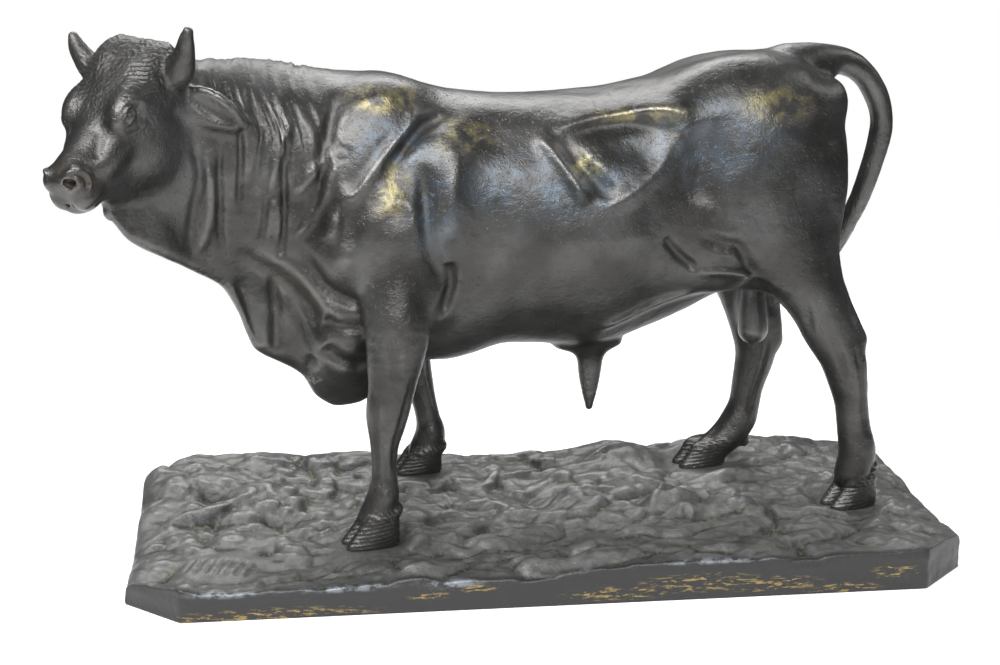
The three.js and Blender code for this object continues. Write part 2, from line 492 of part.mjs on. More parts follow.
// Rounds a chain's corners: each length becomes a few short ones along a smooth curve
function refine(chain) {
  const rings = chain.path;
  const at = (i) => rings[clamp(i, 0, rings.length - 1)];
  const fine = [];
  const cuts = 4;
  for (let i = 0; i + 1 < rings.length; i += 1) {
    for (let c = 0; c < cuts; c += 1) {
      const t = c / cuts;
      fine.push(rings[i].map((v, n) => {
        const [p, q, r, s] = [at(i - 1)[n], v, at(i + 1)[n], at(i + 2)[n]];
        return q + 0.5 * t * (r - p + t * (2 * p - 5 * q + 4 * r - s + t * (3 * (q - r) + s - p)));
      }));
    }
  }
  fine.push(at(rings.length - 1));
  chain.pieces = [];
  for (let i = 0; i + 1 < fine.length; i += 1) {
    const a = fine[i];
    const b = fine[i + 1];
    const middle = [(a[0] + b[0]) / 2, (a[1] + b[1]) / 2, (a[2] + b[2]) / 2];
    const reach = Math.hypot(b[0] - a[0], b[1] - a[1], b[2] - a[2]) / 2 + Math.max(a[3], b[3]);
    chain.pieces.push({ a, b, middle, reach });
  }
  const low = [0, 1, 2].map((n) => Math.min(...fine.map((ring) => ring[n])));
  const high = [0, 1, 2].map((n) => Math.max(...fine.map((ring) => ring[n])));
  chain.middle = low.map((v, n) => (v + high[n]) / 2);
  chain.reach = Math.hypot(...low.map((v, n) => (high[n] - v) / 2)) + Math.max(...fine.map((r) => r[3]));
}
[...LIMBS, ...HORNS].forEach(refine);

function addForms(d, x, y, z, forms) {
  let result = d;
  for (const form of forms) {
    const far = Math.hypot(x - form.at[0], y - form.at[1], z - form.at[2]) - form.reach;
    if (far < result + form.soft) result = join(result, egg(x, y, z, form), form.soft);
  }
  return result;
}

// Distance to one length of a chain, whose radius and flatness run on smoothly into the next
function tube(x, y, z, a, b) {
  const bx = b[0] - a[0];
  const by = b[1] - a[1];
  const bz = b[2] - a[2];
  const along = (x - a[0]) * bx + (y - a[1]) * by + (z - a[2]) * bz;
  const t = clamp(along / (bx * bx + by * by + bz * bz), 0, 1);
  const flat = mix(a[4], b[4], t);
  const gap = Math.hypot(x - a[0] - bx * t, (y - a[1] - by * t) * flat, z - a[2] - bz * t);
  return (gap - mix(a[3], b[3], t)) / Math.sqrt(flat);
}

function addChain(d, x, y, z, chain) {
  const [cx, cy, cz] = chain.middle;
  if (Math.hypot(x - cx, y - cy, z - cz) - chain.reach > d + chain.soft) return d;
  let nearest = 1e3;
  for (const piece of chain.pieces) {
    const [mx, my, mz] = piece.middle;
    const far = Math.hypot(x - mx, y - my, z - mz) - piece.reach;
    if (far < nearest) nearest = Math.min(nearest, tube(x, y, z, piece.a, piece.b));
  }
  return join(d, nearest, chain.soft);
}

// Distance to a row of cross sections: each is turned into a distance by dividing by its own slope
function sectionDistance(table, x, y, z, middle, round) {
  const at = clamp(x, table.start, table.end);
  const wide = readTable(table, 'wide', at);
  const above = z > wide;
  const half = readTable(table, 'half', at);
  const tall = above ? readTable(table, 'ridge', at) - wide : wide - readTable(table, 'keel', at);
  const power = readTable(table, above ? 'crown' : 'sag', at);
  const dy = Math.abs(y - middle) / half;
  const dz = Math.abs(z - wide) / tall;
  const q = Math.max((dy ** power + dz ** power) ** (1 / power), 0.02);
  const slope = Math.hypot((dy / q) ** (power - 1) / half, (dz / q) ** (power - 1) / tall);
  return meet((q - 1) / slope, Math.max(table.start - x, x - table.end), round);
}

function trunkDistance(x, y, z) {
  return sectionDistance(trunkTable, x, y, z, readTable(trunkTable, 'middle', x), SOFT_TRUNK_END);
}

function dewlapDistance(x, y, z) {
  const at = clamp(x, dewlapTable.start, dewlapTable.end);
  const edge = readTable(dewlapTable, 'edge', at);
  const thick = readTable(dewlapTable, 'thick', at);
  const top = Math.max(readTable(dewlapTable, 'top', at), edge + 2 * thick);
  const core = clamp(z, edge + thick, top - thick);
  const gap = Math.hypot(y - readTable(dewlapTable, 'middle', at), (z - core) * 0.8, x - at);
  return gap - thick;
}

function hoofDistance(x, y, z, hoof) {
  const h = z - hoof.at[2];
  const turn = radians(hoof.turn);
  const dx = x - hoof.at[0];
  const dy = y - hoof.at[1];
  const along = dx * Math.cos(turn) + dy * Math.sin(turn);
  const across = Math.abs(dy * Math.cos(turn) - dx * Math.sin(turn));
  const long = Math.max(hoof.length - TOE_SLANT * h, 1);
  const wide = Math.max(hoof.half * CLAW_HALF - SIDE_SLANT * h, 1);
  const claw = Math.hypot((along - TOE_SLANT * h) / long, (across - hoof.half * CLAW_MIDDLE) / wide);
  return meet((claw - 1) * wide, Math.max(-h, h - hoof.height), SOFT_HOOF);
}

function earDistance(x, y, z, ear) {
  const p = [x - ear.at[0], y - ear.at[1], z - ear.at[2]];
  const along = unit(ear.along);
  const across = unit(cross(ear.face, along));
  const out = cross(along, across);
  const dot = (v) => p[0] * v[0] + p[1] * v[1] + p[2] * v[2];
  const [a, b, c] = [dot(along), dot(across), dot(out)];
  const [length, width, thick] = ear.size;
  const bend = EAR_CURL * b * b;
  const leaf = eggDistance(a, b, c - bend, [length, width * (1 - EAR_NARROWS * a), thick]);
  const bowlSize = ear.size.map((v, n) => v * EAR_BOWL.part[n]);
  const bowl = eggDistance(a, b, c - bend - thick, bowlSize);
  return carve(leaf, bowl, EAR_BOWL.soft);
}

// A smooth curve through a few points, cut into short lengths that each know how strong they are
function smoothLine(line) {
  const path = line.path;
  const at = (i) => path[clamp(i, 0, path.length - 1)];
  const cuts = 4;
  const points = [];
  for (let i = 0; i + 1 < path.length; i += 1) {
    for (let c = 0; c < cuts; c += 1) {
      const t = c / cuts;
      points.push(path[i].map((v, n) => {
        const [p, q, r, s] = [at(i - 1)[n], v, at(i + 1)[n], at(i + 2)[n]];
        return q + 0.5 * t * (r - p + t * (2 * p - 5 * q + 4 * r - s + t * (3 * (q - r) + s - p)));
      }));
    }
  }
  points.push(at(path.length - 1));
  line.points = points;
  line.low = points[0].map((v, n) => Math.min(...points.map((p) => p[n])) - 3 * line.width);
  line.high = points[0].map((v, n) => Math.max(...points.map((p) => p[n])) + 3 * line.width);
}
[...FLANK_LINES, ...HEAD_LINES].forEach(smoothLine);

// The height of one drawn line at a point; it fades out towards both of its ends
function lineHeight(line, point) {
  for (let n = 0; n < point.length; n += 1) {
    if (point[n] < line.low[n] || point[n] > line.high[n]) return 0;
  }
  const last = line.points.length - 1;
  let best = 1e9;
  let place = 0;
  for (let i = 0; i < last; i += 1) {
    const a = line.points[i];
    const b = line.points[i + 1];
    let along = 0;
    let length = 0;
    for (let n = 0; n < a.length; n += 1) {
      along += (point[n] - a[n]) * (b[n] - a[n]);
      length += (b[n] - a[n]) ** 2;
    }
    const t = clamp(along / length, 0, 1);
    let gap = 0;
    for (let n = 0; n < a.length; n += 1) gap += (point[n] - mix(a[n], b[n], t)) ** 2;
    if (gap < best) {
      best = gap;
      place = (i + t) / last;
    }
  }
  const fade = ramp(0, 0.25, place) * ramp(0, 0.25, 1 - place);
  return line.height * fade * Math.exp(-best / line.width ** 2);
}

function drawLines(point, lines) {
  let height = 0;
  for (const line of lines) height += lineHeight(line, point);
  return height;
}

function toHead(x, y, z) {
  const px = (x - HEAD_PLACE[0]) / HEAD_SCALE;
  const py = (y - HEAD_PLACE[1]) / HEAD_SCALE;
  const pz = (z - HEAD_PLACE[2]) / HEAD_SCALE;
  return HEAD_AXES.map((axis) => px * axis[0] + py * axis[1] + pz * axis[2]);
}

function headDistance(x, y, z) {
  const [hx, hy, hz] = toHead(x, y, z);
  const side = Math.abs(hy);
  let d = sectionDistance(headTable, hx, hy, hz, 0, SOFT_HEAD_END);
  d = addForms(d, hx, hy, hz, HEAD_MIDDLE);
  d = addForms(d, hx, side, hz, HEAD_PAIRED);
  if (Math.abs(d) < SKIN_BAND) d -= drawLines([hx, side, hz], HEAD_LINES);
  if (hx > NOSTRILS[0].at[0] - PART_REACH) {
    for (const nostril of NOSTRILS) d = carve(d, egg(hx, hy, hz, nostril), SOFT_NOSTRIL);
  }
  if (Math.abs(hx - EYEBALL.at[0]) < PART_REACH) {
    d = carve(d, egg(hx, side, hz, EYE_HOLLOW), SOFT_EYE);
    d = join(d, egg(hx, side, hz, EYEBALL), EYEBALL.soft);
  }
  for (const horn of HORNS) d = addChain(d, hx, hy, hz, horn);
  for (const ear of EARS) {
    const far = Math.hypot(hx - ear.at[0], hy - ear.at[1], hz - ear.at[2]) - PART_REACH;
    if (far < d + SOFT_EAR) d = join(d, earDistance(hx, hy, hz, ear), SOFT_EAR);
  }
  return d * HEAD_SCALE;
}

function flankRelief(d, x, y, z) {
  const side = ramp(2, 10, Math.abs(y));
  let relief = -drawLines([x, z], FLANK_LINES);
  for (const hollow of FLANK_HOLLOWS) {
    const gap = Math.hypot((x - hollow.at[0]) / hollow.size[0], (z - hollow.at[1]) / hollow.size[1]);
    if (gap < 3) relief += hollow.depth * Math.exp(-gap * gap);
  }
  return d + relief * side;
}

function bullDistance(x, y, z) {
  const side = Math.abs(y);
  let d = trunkDistance(x, y, z);
  d = join(d, dewlapDistance(x, y, z), SOFT_DEWLAP);
  d = addForms(d, x, side, z, PAIRED);
  d = addForms(d, x, y, z, MIDDLE);
  if (Math.abs(d) < SKIN_BAND && z > SKIN_LOW) d = flankRelief(d, x, y, z);
  for (const chain of LIMBS) d = addChain(d, x, y, z, chain);
  const [bx, by, bz] = HEAD_BALL.at;
  const headFar = Math.hypot(x - bx, y - by, z - bz) - HEAD_BALL.radius;
  if (headFar < d + SOFT_NECK) d = join(d, headDistance(x, y, z), SOFT_NECK);
  for (const hoof of HOOVES) {
    const away = Math.hypot(x - hoof.at[0], y - hoof.at[1]);
    const near = away - HOOF_REACH < d + SOFT_HOOF && z < hoof.at[2] + HOOF_TOP;
    if (near) d = join(d, hoofDistance(x, y, z, hoof), SOFT_HOOF);
    if (away < HOOF_REACH) d = Math.max(d, hoof.at[2] - z);
  }
  return addForms(d, x, y, z, DEWCLAWS);
}

// Samples the distance on a grid, skipping blocks that lie well off the surface
function sample(distance, low, counts, step) {
  const [nx, ny, nz] = counts;
  const value = new Float32Array(nx * ny * nz);
  const block = 4;
  const radius = (Math.sqrt(3) * block * step) / 2;
  for (let k0 = 0; k0 < nz; k0 += block) {
    for (let j0 = 0; j0 < ny; j0 += block) {
      for (let i0 = 0; i0 < nx; i0 += block) {
        const centre = [i0, j0, k0].map((n, axis) => low[axis] + (n + (block - 1) / 2) * step);
        const coarse = distance(centre[0], centre[1], centre[2]);
        const skip = Math.abs(coarse) > radius * 1.8 + 3;
        for (let k = k0; k < Math.min(nz, k0 + block); k += 1) {
          for (let j = j0; j < Math.min(ny, j0 + block); j += 1) {
            for (let i = i0; i < Math.min(nx, i0 + block); i += 1) {
              const v = skip ? coarse : distance(low[0] + i * step, low[1] + j * step, low[2] + k * step);
              value[i + nx * (j + ny * k)] = Math.abs(v) < 1e-3 ? 1e-3 : v;
            }
          }
        }
      }
    }
  }
  return value;
}

// Cuts each grid cell's six tetrahedra at the surface
function meshOf(distance, low, high, step) {
  const counts = low.map((v, axis) => Math.ceil((high[axis] - v) / step) + 1);
  const [nx, ny, nz] = counts;
  const value = sample(distance, low, counts, step);
  const corner = [0, 1, nx, nx + 1, nx * ny, nx * ny + 1, nx * ny + nx, nx * ny + nx + 1];
  const tets = [[0, 1, 3, 7], [0, 3, 2, 7], [0, 2, 6, 7], [0, 6, 4, 7], [0, 4, 5, 7], [0, 5, 1, 7]];
  const positions = [];
  const triangles = [];
  const cut = new Map();
  const placeOf = (index) => {
    const i = index % nx;
    const j = Math.floor(index / nx) % ny;
    const k = Math.floor(index / (nx * ny));
    return [low[0] + i * step, low[1] + j * step, low[2] + k * step];
  };
  const crossing = (a, b) => {
    const key = Math.min(a, b) * nx * ny * nz + Math.max(a, b);
    if (cut.has(key)) return cut.get(key);
    const pa = placeOf(a);
    const pb = placeOf(b);
    const t = clamp(value[a] / (value[a] - value[b]), 0.04, 0.96);
    positions.push([mix(pa[0], pb[0], t), mix(pa[1], pb[1], t), mix(pa[2], pb[2], t)]);
    cut.set(key, positions.length - 1);
    return positions.length - 1;
  };
  const addFace = (face, outward) => {
    const [p, q, r] = face.map((id) => positions[id]);
    const normal = cross([q[0] - p[0], q[1] - p[1], q[2] - p[2]], [r[0] - p[0], r[1] - p[1], r[2] - p[2]]);
    const along = normal[0] * outward[0] + normal[1] * outward[1] + normal[2] * outward[2];
    triangles.push(along >= 0 ? face : [face[0], face[2], face[1]]);
  };
  for (let k = 0; k < nz - 1; k += 1) {
    for (let j = 0; j < ny - 1; j += 1) {
      for (let i = 0; i < nx - 1; i += 1) {
        const base = i + nx * (j + ny * k);
        let inside = 0;
        for (let c = 0; c < 8; c += 1) inside += value[base + corner[c]] < 0 ? 1 : 0;
        if (inside === 0 || inside === 8) continue;
        for (const tet of tets) {
          const ids = tet.map((c) => base + corner[c]);
          const ins = ids.filter((id) => value[id] < 0);
          const outs = ids.filter((id) => value[id] >= 0);
          if (ins.length === 0 || outs.length === 0) continue;
          const pin = placeOf(ins[0]);
          const pout = placeOf(outs[0]);
          const outward = [pout[0] - pin[0], pout[1] - pin[1], pout[2] - pin[2]];
          if (ins.length === 1) addFace(outs.map((o) => crossing(ins[0], o)), outward);
          if (ins.length === 3) addFace(ins.map((n) => crossing(n, outs[0])), outward);
          if (ins.length === 2) {
            const quad = [crossing(ins[0], outs[0]), crossing(ins[0], outs[1]),
              crossing(ins[1], outs[1]), crossing(ins[1], outs[0])];
            addFace([quad[0], quad[1], quad[2]], outward);
            addFace([quad[0], quad[2], quad[3]], outward);
          }
        }
      }
    }
  }
  return { positions, triangles };
}

// A list of numbered entries that always gives the one with the least cost first
class Queue {
  constructor() {
    this.items = [];
  }

  push(item) {
    const { items } = this;
    items.push(item);
    let i = items.length - 1;
    while (i > 0) {
      const up = (i - 1) >> 1;
      if (items[up].cost <= items[i].cost) break;
      [items[up], items[i]] = [items[i], items[up]];
      i = up;
    }
  }

  pop() {
    const { items } = this;
    const first = items[0];
    const last = items.pop();
    if (items.length === 0) return first;
    items[0] = last;
    let i = 0;
    for (;;) {
      let least = i;
      for (const child of [2 * i + 1, 2 * i + 2]) {
        if (child < items.length && items[child].cost < items[least].cost) least = child;
      }
      if (least === i) return first;
      [items[least], items[i]] = [items[i], items[least]];
      i = least;
    }
  }
}

function faceNormal(p, q, r) {
  return cross([q[0] - p[0], q[1] - p[1], q[2] - p[2]], [r[0] - p[0], r[1] - p[1], r[2] - p[2]]);
}

function fineness(p) {
  let weight = 1;
  for (const place of FINE_PLACES) {
    const gap = Math.hypot(p[0] - place.at[0], p[1] - place.at[1], p[2] - place.at[2]);
    weight = Math.max(weight, mix(place.weight, 1, ramp(place.reach * 0.8, place.reach * 1.2, gap)));
  }
  return weight;
}

// Merges neighbouring corners where that moves the surface least, until few enough facets are left
function reduce(mesh, target) {
  const points = mesh.positions.map((p) => [...p]);
  const faces = mesh.triangles.map((t) => [...t]);
  const around = points.map(() => new Set());
  const planes = points.map(() => new Float64Array(10));
  const version = new Int32Array(points.length);
  faces.forEach((face, f) => {
    const [p, q, r] = face.map((id) => points[id]);
    const normal = faceNormal(p, q, r);
    const size = Math.hypot(...normal);
    const weight = fineness(p) * size;
    const [a, b, c] = size > 1e-9 ? normal.map((v) => v / size) : [0, 0, 0];
    const d = -(a * p[0] + b * p[1] + c * p[2]);
    const terms = [a * a, a * b, a * c, a * d, b * b, b * c, b * d, c * c, c * d, d * d];
    for (const id of face) {
      around[id].add(f);
      terms.forEach((term, n) => { planes[id][n] += term * weight; });
    }
  });
  const offPlanes = (q, [x, y, z]) => q[0] * x * x + 2 * q[1] * x * y + 2 * q[2] * x * z + 2 * q[3] * x
    + q[4] * y * y + 2 * q[5] * y * z + 2 * q[6] * y + q[7] * z * z + 2 * q[8] * z + q[9];
  const queue = new Queue();
  const offer = (u, v) => {
    const q = planes[u].map((value, n) => value + planes[v][n]);
    const [pu, pv] = [points[u], points[v]];
    const places = [pu, pv, [(pu[0] + pv[0]) / 2, (pu[1] + pv[1]) / 2, (pu[2] + pv[2]) / 2]];
    const det = q[0] * (q[4] * q[7] - q[5] * q[5]) - q[1] * (q[1] * q[7] - q[5] * q[2])
      + q[2] * (q[1] * q[5] - q[4] * q[2]);
    if (Math.abs(det) > 1e-4 * (q[0] + q[4] + q[7]) ** 3) {
      const ab = q[4] * q[7] - q[5] * q[5];
      const bc = q[6] * q[7] - q[5] * q[8];
      const ca = q[4] * q[8] - q[5] * q[6];
      const ad = q[1] * q[7] - q[5] * q[2];
      const bd = q[1] * q[8] - q[6] * q[2];
      const cd = q[1] * q[5] - q[4] * q[2];
      places.push([
        -(q[3] * ab - q[1] * bc - q[2] * ca) / det,
        -(q[0] * bc - q[3] * ad + q[2] * bd) / det,
        -(q[0] * ca - q[1] * bd + q[3] * cd) / det,
      ]);
    }
    const length = Math.hypot(pu[0] - pv[0], pu[1] - pv[1], pu[2] - pv[2]);
    let best = null;
    for (const place of places) {
      const stray = Math.hypot(place[0] - pu[0], place[1] - pu[1], place[2] - pu[2]);
      const cost = offPlanes(q, place) + 1e-3 * length * length;
      if (stray < 2 * length && (best === null || cost < best.cost)) best = { cost, place };
    }
    queue.push({ ...best, u, v, stamp: version[u] + version[v] });
  };
  const neighbours = (id) => {
    const found = new Set();
    for (const f of around[id]) for (const other of faces[f]) if (other !== id) found.add(other);
    return found;
  };
  const flips = (id, gone, place) => {
    for (const f of around[id]) {
      const face = faces[f];
      if (face.includes(gone)) continue;
      const before = faceNormal(...face.map((n) => points[n]));
      const after = faceNormal(...face.map((n) => (n === id ? place : points[n])));
      const dot = before[0] * after[0] + before[1] * after[1] + before[2] * after[2];
      if (dot < 0.35 * Math.hypot(...before) * Math.hypot(...after)) return true;
    }
    return false;
  };
  points.forEach((_, u) => {
    for (const v of neighbours(u)) if (u < v) offer(u, v);
  });
  let left = faces.length;
  while (left > target && queue.items.length > 0) {
    const { u, v, place, stamp } = queue.pop();
    if (around[u] === null || around[v] === null || stamp !== version[u] + version[v]) continue;
    const shared = [...around[u]].filter((f) => around[v].has(f));
    const common = [...neighbours(u)].filter((n) => neighbours(v).has(n));
    if (shared.length !== 2 || common.length !== 2 || flips(u, v, place) || flips(v, u, place)) continue;
    points[u] = place;
    planes[v].forEach((value, n) => { planes[u][n] += value; });
    for (const f of shared) {
      for (const id of faces[f]) if (id !== v) around[id].delete(f);
      faces[f] = null;
    }
    for (const f of around[v]) {
      if (faces[f] === null) continue;
      faces[f] = faces[f].map((id) => (id === v ? u : id));
      around[u].add(f);
    }
    around[v] = null;
    version[u] += version[v] + 1;
    left -= 2;
    for (const n of neighbours(u)) offer(Math.min(u, n), Math.max(u, n));
  }
  return { positions: points, triangles: faces.filter((face) => face !== null) };
}

// A three.js geometry of the corners that are still in use
function geometryOf({ positions, triangles }) {
  const place = new Map();
  const coordinates = [];
  const index = [];
  for (const face of triangles) {
    for (const id of face) {
      if (!place.has(id)) {
        place.set(id, place.size);
        coordinates.push(...positions[id]);
      }
      index.push(place.get(id));
    }
  }
  const geometry = new THREE.BufferGeometry();
  geometry.setAttribute('position', new THREE.Float32BufferAttribute(coordinates, 3));
  geometry.setIndex(index);
  geometry.computeVertexNormals();
  return geometry;
}

// How far forward and back the base reaches at x, with its four cut corners
function baseFront(x) {
  const left = BASE_CORNERS.frontLeft - (x + BASE_LENGTH / 2);
  const right = BASE_CORNERS.frontRight - (BASE_LENGTH / 2 - x);
  return -BASE_WIDTH / 2 + Math.max(0, left, right);
}

function baseBack(x) {
  const left = BASE_CORNERS.backLeft - (x + BASE_LENGTH / 2);
  const right = BASE_CORNERS.backRight - (BASE_LENGTH / 2 - x);
  return BASE_WIDTH / 2 - Math.max(0, left, right);
}

// A whole number that looks random but is always the same for the same cell
function scatter(i, j, seed) {
  let h = (i * 374761393 + j * 668265263 + seed * 2147483647) | 0;
  h = Math.imul(h ^ (h >>> 13), 1274126177);
  return ((h ^ (h >>> 16)) >>> 0) / 4294967295;
}

// Rolling lumps about `size` across, between -1 and 1
function lumps(x, y, size, seed) {
  const i = Math.floor(x / size);
  const j = Math.floor(y / size);
  const u = ramp(0, 1, x / size - i);
  const v = ramp(0, 1, y / size - j);
  const front = mix(scatter(i, j, seed), scatter(i + 1, j, seed), u);
  const back = mix(scatter(i, j + 1, seed), scatter(i + 1, j + 1, seed), u);
  return mix(front, back, v) * 2 - 1;
}

// The soles' places on the base
const SOLES = HOOVES.map((hoof) => {
  const [x, y, z] = hoof.at;
  const turned = new THREE.Vector3(x, y, z).applyAxisAngle(new THREE.Vector3(0, 0, 1), BULL_TURN);
  return { x: turned.x, y: turned.y + BULL_SHIFT_Y, z, reach: hoof.length };
});

// The height of the ground above the flat underside
function groundHeight(x, y) {
  const across = clamp((y - baseFront(x)) / (baseBack(x) - baseFront(x)), 0, 1);
  let height = mix(frontEdge(x), backEdge(x), across ** GROUND_CURVE);
  const inner = ramp(0, EDGE_CALM, Math.min(across, 1 - across) * BASE_WIDTH);
  const rough = mix(ROUGH_LEFT, ROUGH_RIGHT, ramp(ROUGH_FROM, ROUGH_TO, x));
  for (const lump of LUMPS) {
    height += rough * inner * lump.share * lumps(x, y * LUMP_STRETCH, lump.size, lump.seed);
  }
  for (const mound of MOUNDS) {
    const gap = Math.hypot((x - mound.at[0]) / mound.size[0], (y - mound.at[1]) / mound.size[1]);
    height += mound.height * Math.exp(-gap * gap);
  }
  for (const sole of SOLES) {
    const gap = Math.hypot(x - sole.x, y - sole.y);
    const seat = sole.z - SOLE_GAP;
    height = mix(seat, height, ramp(sole.reach, sole.reach + SEAT_FADE, gap));
    if (gap < sole.reach + SEAT_CLEAR) height = Math.min(height, seat);
  }
  return height;
}

// The base: a flat underside, upright sides and the ground on top
function baseMesh() {
  const positions = [];
  const triangles = [];
  const xs = [];
  for (let i = 0; i <= BASE_COLUMNS; i += 1) xs.push(-BASE_LENGTH / 2 + (BASE_LENGTH * i) / BASE_COLUMNS);
  const add = (x, y, z) => positions.push([x, y, z]) - 1;
  const top = xs.map((x) => {
    const column = [];
    for (let j = 0; j <= BASE_ROWS; j += 1) {
      const y = mix(baseFront(x), baseBack(x), j / BASE_ROWS);
      column.push(add(x, y, groundHeight(x, y)));
    }
    return column;
  });
  for (let i = 0; i < BASE_COLUMNS; i += 1) {
    for (let j = 0; j < BASE_ROWS; j += 1) {
      triangles.push([top[i][j], top[i + 1][j], top[i + 1][j + 1]]);
      triangles.push([top[i][j], top[i + 1][j + 1], top[i][j + 1]]);
    }
  }
  const rim = [
    ...top.map((column) => column[0]),
    ...top[BASE_COLUMNS].slice(1),
    ...top.slice(0, -1).reverse().map((column) => column[BASE_ROWS]),
    ...top[0].slice(1, -1).reverse(),
  ];
  const foot = rim.map((id) => add(positions[id][0], positions[id][1], 0));
  const centre = add(0, 0, 0);
  rim.forEach((id, n) => {
    const next = (n + 1) % rim.length;
    triangles.push([id, foot[n], foot[next]]);
    triangles.push([id, foot[next], rim[next]]);
    triangles.push([centre, foot[next], foot[n]]);
  });
  return { positions, triangles };
}

const bronze = new THREE.MeshStandardMaterial({ color: 0x2b2a27, roughness: 0.36, metalness: 0.85 });
const groundBronze = new THREE.MeshStandardMaterial({ color: 0x33332f, roughness: 0.5, metalness: 0.8 });

function makeBull() {
  const full = meshOf(bullDistance, BULL_BOX.low, BULL_BOX.high, GRID_STEP);
  const bull = new THREE.Mesh(geometryOf(reduce(full, BULL_FACETS)), bronze);
  bull.name = 'bull';
  bull.rotation.z = BULL_TURN;
  bull.position.y = BULL_SHIFT_Y;
  return bull;
}

function makeBase() {
  const base = new THREE.Mesh(geometryOf(baseMesh()), groundBronze);
  base.name = 'ground_base';
  return base;
}

const group = new THREE.Group();
group.add(makeBull(), makeBase());
export default group;
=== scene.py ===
# %% [markdown]
# A bronze bull on a piece of rocky ground.
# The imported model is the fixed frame: it says where the bull and the base stand and how big they are.
# This script gives both their real surface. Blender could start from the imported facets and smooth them, but
# then every crease would have to be cut back in. Instead the bull is modelled as a modeller works in clay:
# named sections, muscles and limbs are pressed together, the joints between them are thumbed smooth, lines
# are drawn into the skin, and hair and hooves are finished last. The base is a field of heights.

# %% Load the frame
import math

import bpy
import numpy as np
from mathutils import Matrix


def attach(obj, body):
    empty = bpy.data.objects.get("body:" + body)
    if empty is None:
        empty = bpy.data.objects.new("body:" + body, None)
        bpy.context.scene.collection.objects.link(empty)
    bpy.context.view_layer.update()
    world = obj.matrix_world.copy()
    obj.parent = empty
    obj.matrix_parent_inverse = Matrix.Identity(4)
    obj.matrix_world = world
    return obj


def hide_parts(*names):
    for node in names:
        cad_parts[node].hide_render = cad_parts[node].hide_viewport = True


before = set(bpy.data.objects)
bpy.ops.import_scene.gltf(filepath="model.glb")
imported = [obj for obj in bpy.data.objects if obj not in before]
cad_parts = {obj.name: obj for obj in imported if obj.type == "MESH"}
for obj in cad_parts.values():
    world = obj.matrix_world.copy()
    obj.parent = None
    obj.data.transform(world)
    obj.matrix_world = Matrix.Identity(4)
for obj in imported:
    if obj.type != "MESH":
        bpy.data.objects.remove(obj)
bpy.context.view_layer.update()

# %% [markdown]
# The camera comes first. It stands where the photographer stood: a little above the bull's back, before its
# near side and slightly towards its head. Sizes in this script are millimetres until a mesh is made.

# %% Camera
MM = 0.001
IMAGE_WIDTH = 1000
IMAGE_FOCUS = 1600.0
SENSOR_MM = 36.0
CAMERA_AROUND = math.radians(-7.08)
CAMERA_ABOVE = math.radians(12.02)
CAMERA_AWAY = 667.45
CAMERA_AIM = np.array([-17.06, 0.0, 95.21])


def looking_axes(around, above):
    """Right, up and backward directions of something that looks at the bull."""
    flat = math.cos(above)
    back = np.array([math.sin(around) * flat, -math.cos(around) * flat, math.sin(above)])
    right = np.array([math.cos(around), math.sin(around), 0.0])
    return right, np.cross(back, right), back


def aimed(around, above, away, aim):
    """The matrix of something that looks at aim from that side, that high and that far away."""
    right, up, back = looking_axes(around, above)
    spot = (np.asarray(aim) + back * away) * MM
    rows = [[right[n], up[n], back[n], spot[n]] for n in range(3)]
    return Matrix(rows + [[0, 0, 0, 1]])


def place_camera():
    camera = bpy.data.objects.new("camera", bpy.data.cameras.new("camera"))
    bpy.context.scene.collection.objects.link(camera)
    camera.matrix_world = aimed(CAMERA_AROUND, CAMERA_ABOVE, CAMERA_AWAY, CAMERA_AIM)
    camera.data.sensor_width = SENSOR_MM
    camera.data.lens = IMAGE_FOCUS / IMAGE_WIDTH * SENSOR_MM
    camera.data.clip_start = 0.01
    bpy.context.scene.camera = camera
    return camera


camera = place_camera()
print("camera lens", round(camera.data.lens, 2), "mm")

# %% [markdown]
# The modelling rests on one idea: a function that says how far any point lies from the bull's skin, less
# than nothing inside. Two forms are joined by taking the smaller distance, and a fillet appears where both
# are nearly alike. These few helpers do that for whole arrays of points at once.

# %% Distances and how they are joined


def mix(a, b, t):
    return a + (b - a) * t


def ramp(low, high, v):
    t = np.clip((v - low) / (high - low), 0.0, 1.0)
    return t * t * (3 - 2 * t)


def join(a, b, k):
    """Joins two distances with a fillet of width k."""
    h = np.maximum(k - np.abs(a - b), 0) / k
    return np.minimum(a, b) - h * h * k * 0.25


def meet(a, b, k):
    """Keeps what is inside both, with a rounded edge."""
    return -join(-a, -b, k)


def carve(a, b, k):
    """Takes b away from a, with a rounded edge."""
    return -join(-a, b, k)


def length(v):
    return np.sqrt(np.einsum("...n,...n->...", v, v))


def follow(xs, values, at):
    """A smooth curve through (x, value) pairs that never overshoots them."""
    xs, values = np.array(xs, float), np.array(values, float)
    slopes = np.diff(values) / np.diff(xs)
    before, after = slopes[:-1], slopes[1:]
    same_way = before * after > 0
    inner = np.where(same_way, 2 * before * after / np.where(same_way, before + after, 1), 0)
    tangents = np.concatenate([slopes[:1], inner, slopes[-1:]])
    at = np.clip(at, xs[0], xs[-1])
    i = np.clip(np.searchsorted(xs, at) - 1, 0, len(xs) - 2)
    width = xs[i + 1] - xs[i]
    t = (at - xs[i]) / width
    ends = values[i] * (1 + 2 * t) * (1 - t) ** 2 + values[i + 1] * t * t * (3 - 2 * t)
    return ends + width * t * (1 - t) * (tangents[i] * (1 - t) - tangents[i + 1] * t)


def named_rows(names, rows):
    """Rows of values under shared names, which saves writing the names in every row."""
    return [dict(zip(names.split(), row)) for row in rows]


def sections(stations):
    """Reads a row of stations as smooth curves, kept at every millimetre of x."""
    xs = [s["x"] for s in stations]
    at = np.arange(xs[0], xs[-1] + 1.0)
    table = {key: follow(xs, [s[key] for s in stations], at) for key in stations[0] if key != "x"}
    table["at"] = at
    return table


def read(table, key, x):
    return np.interp(x, table["at"], table[key])


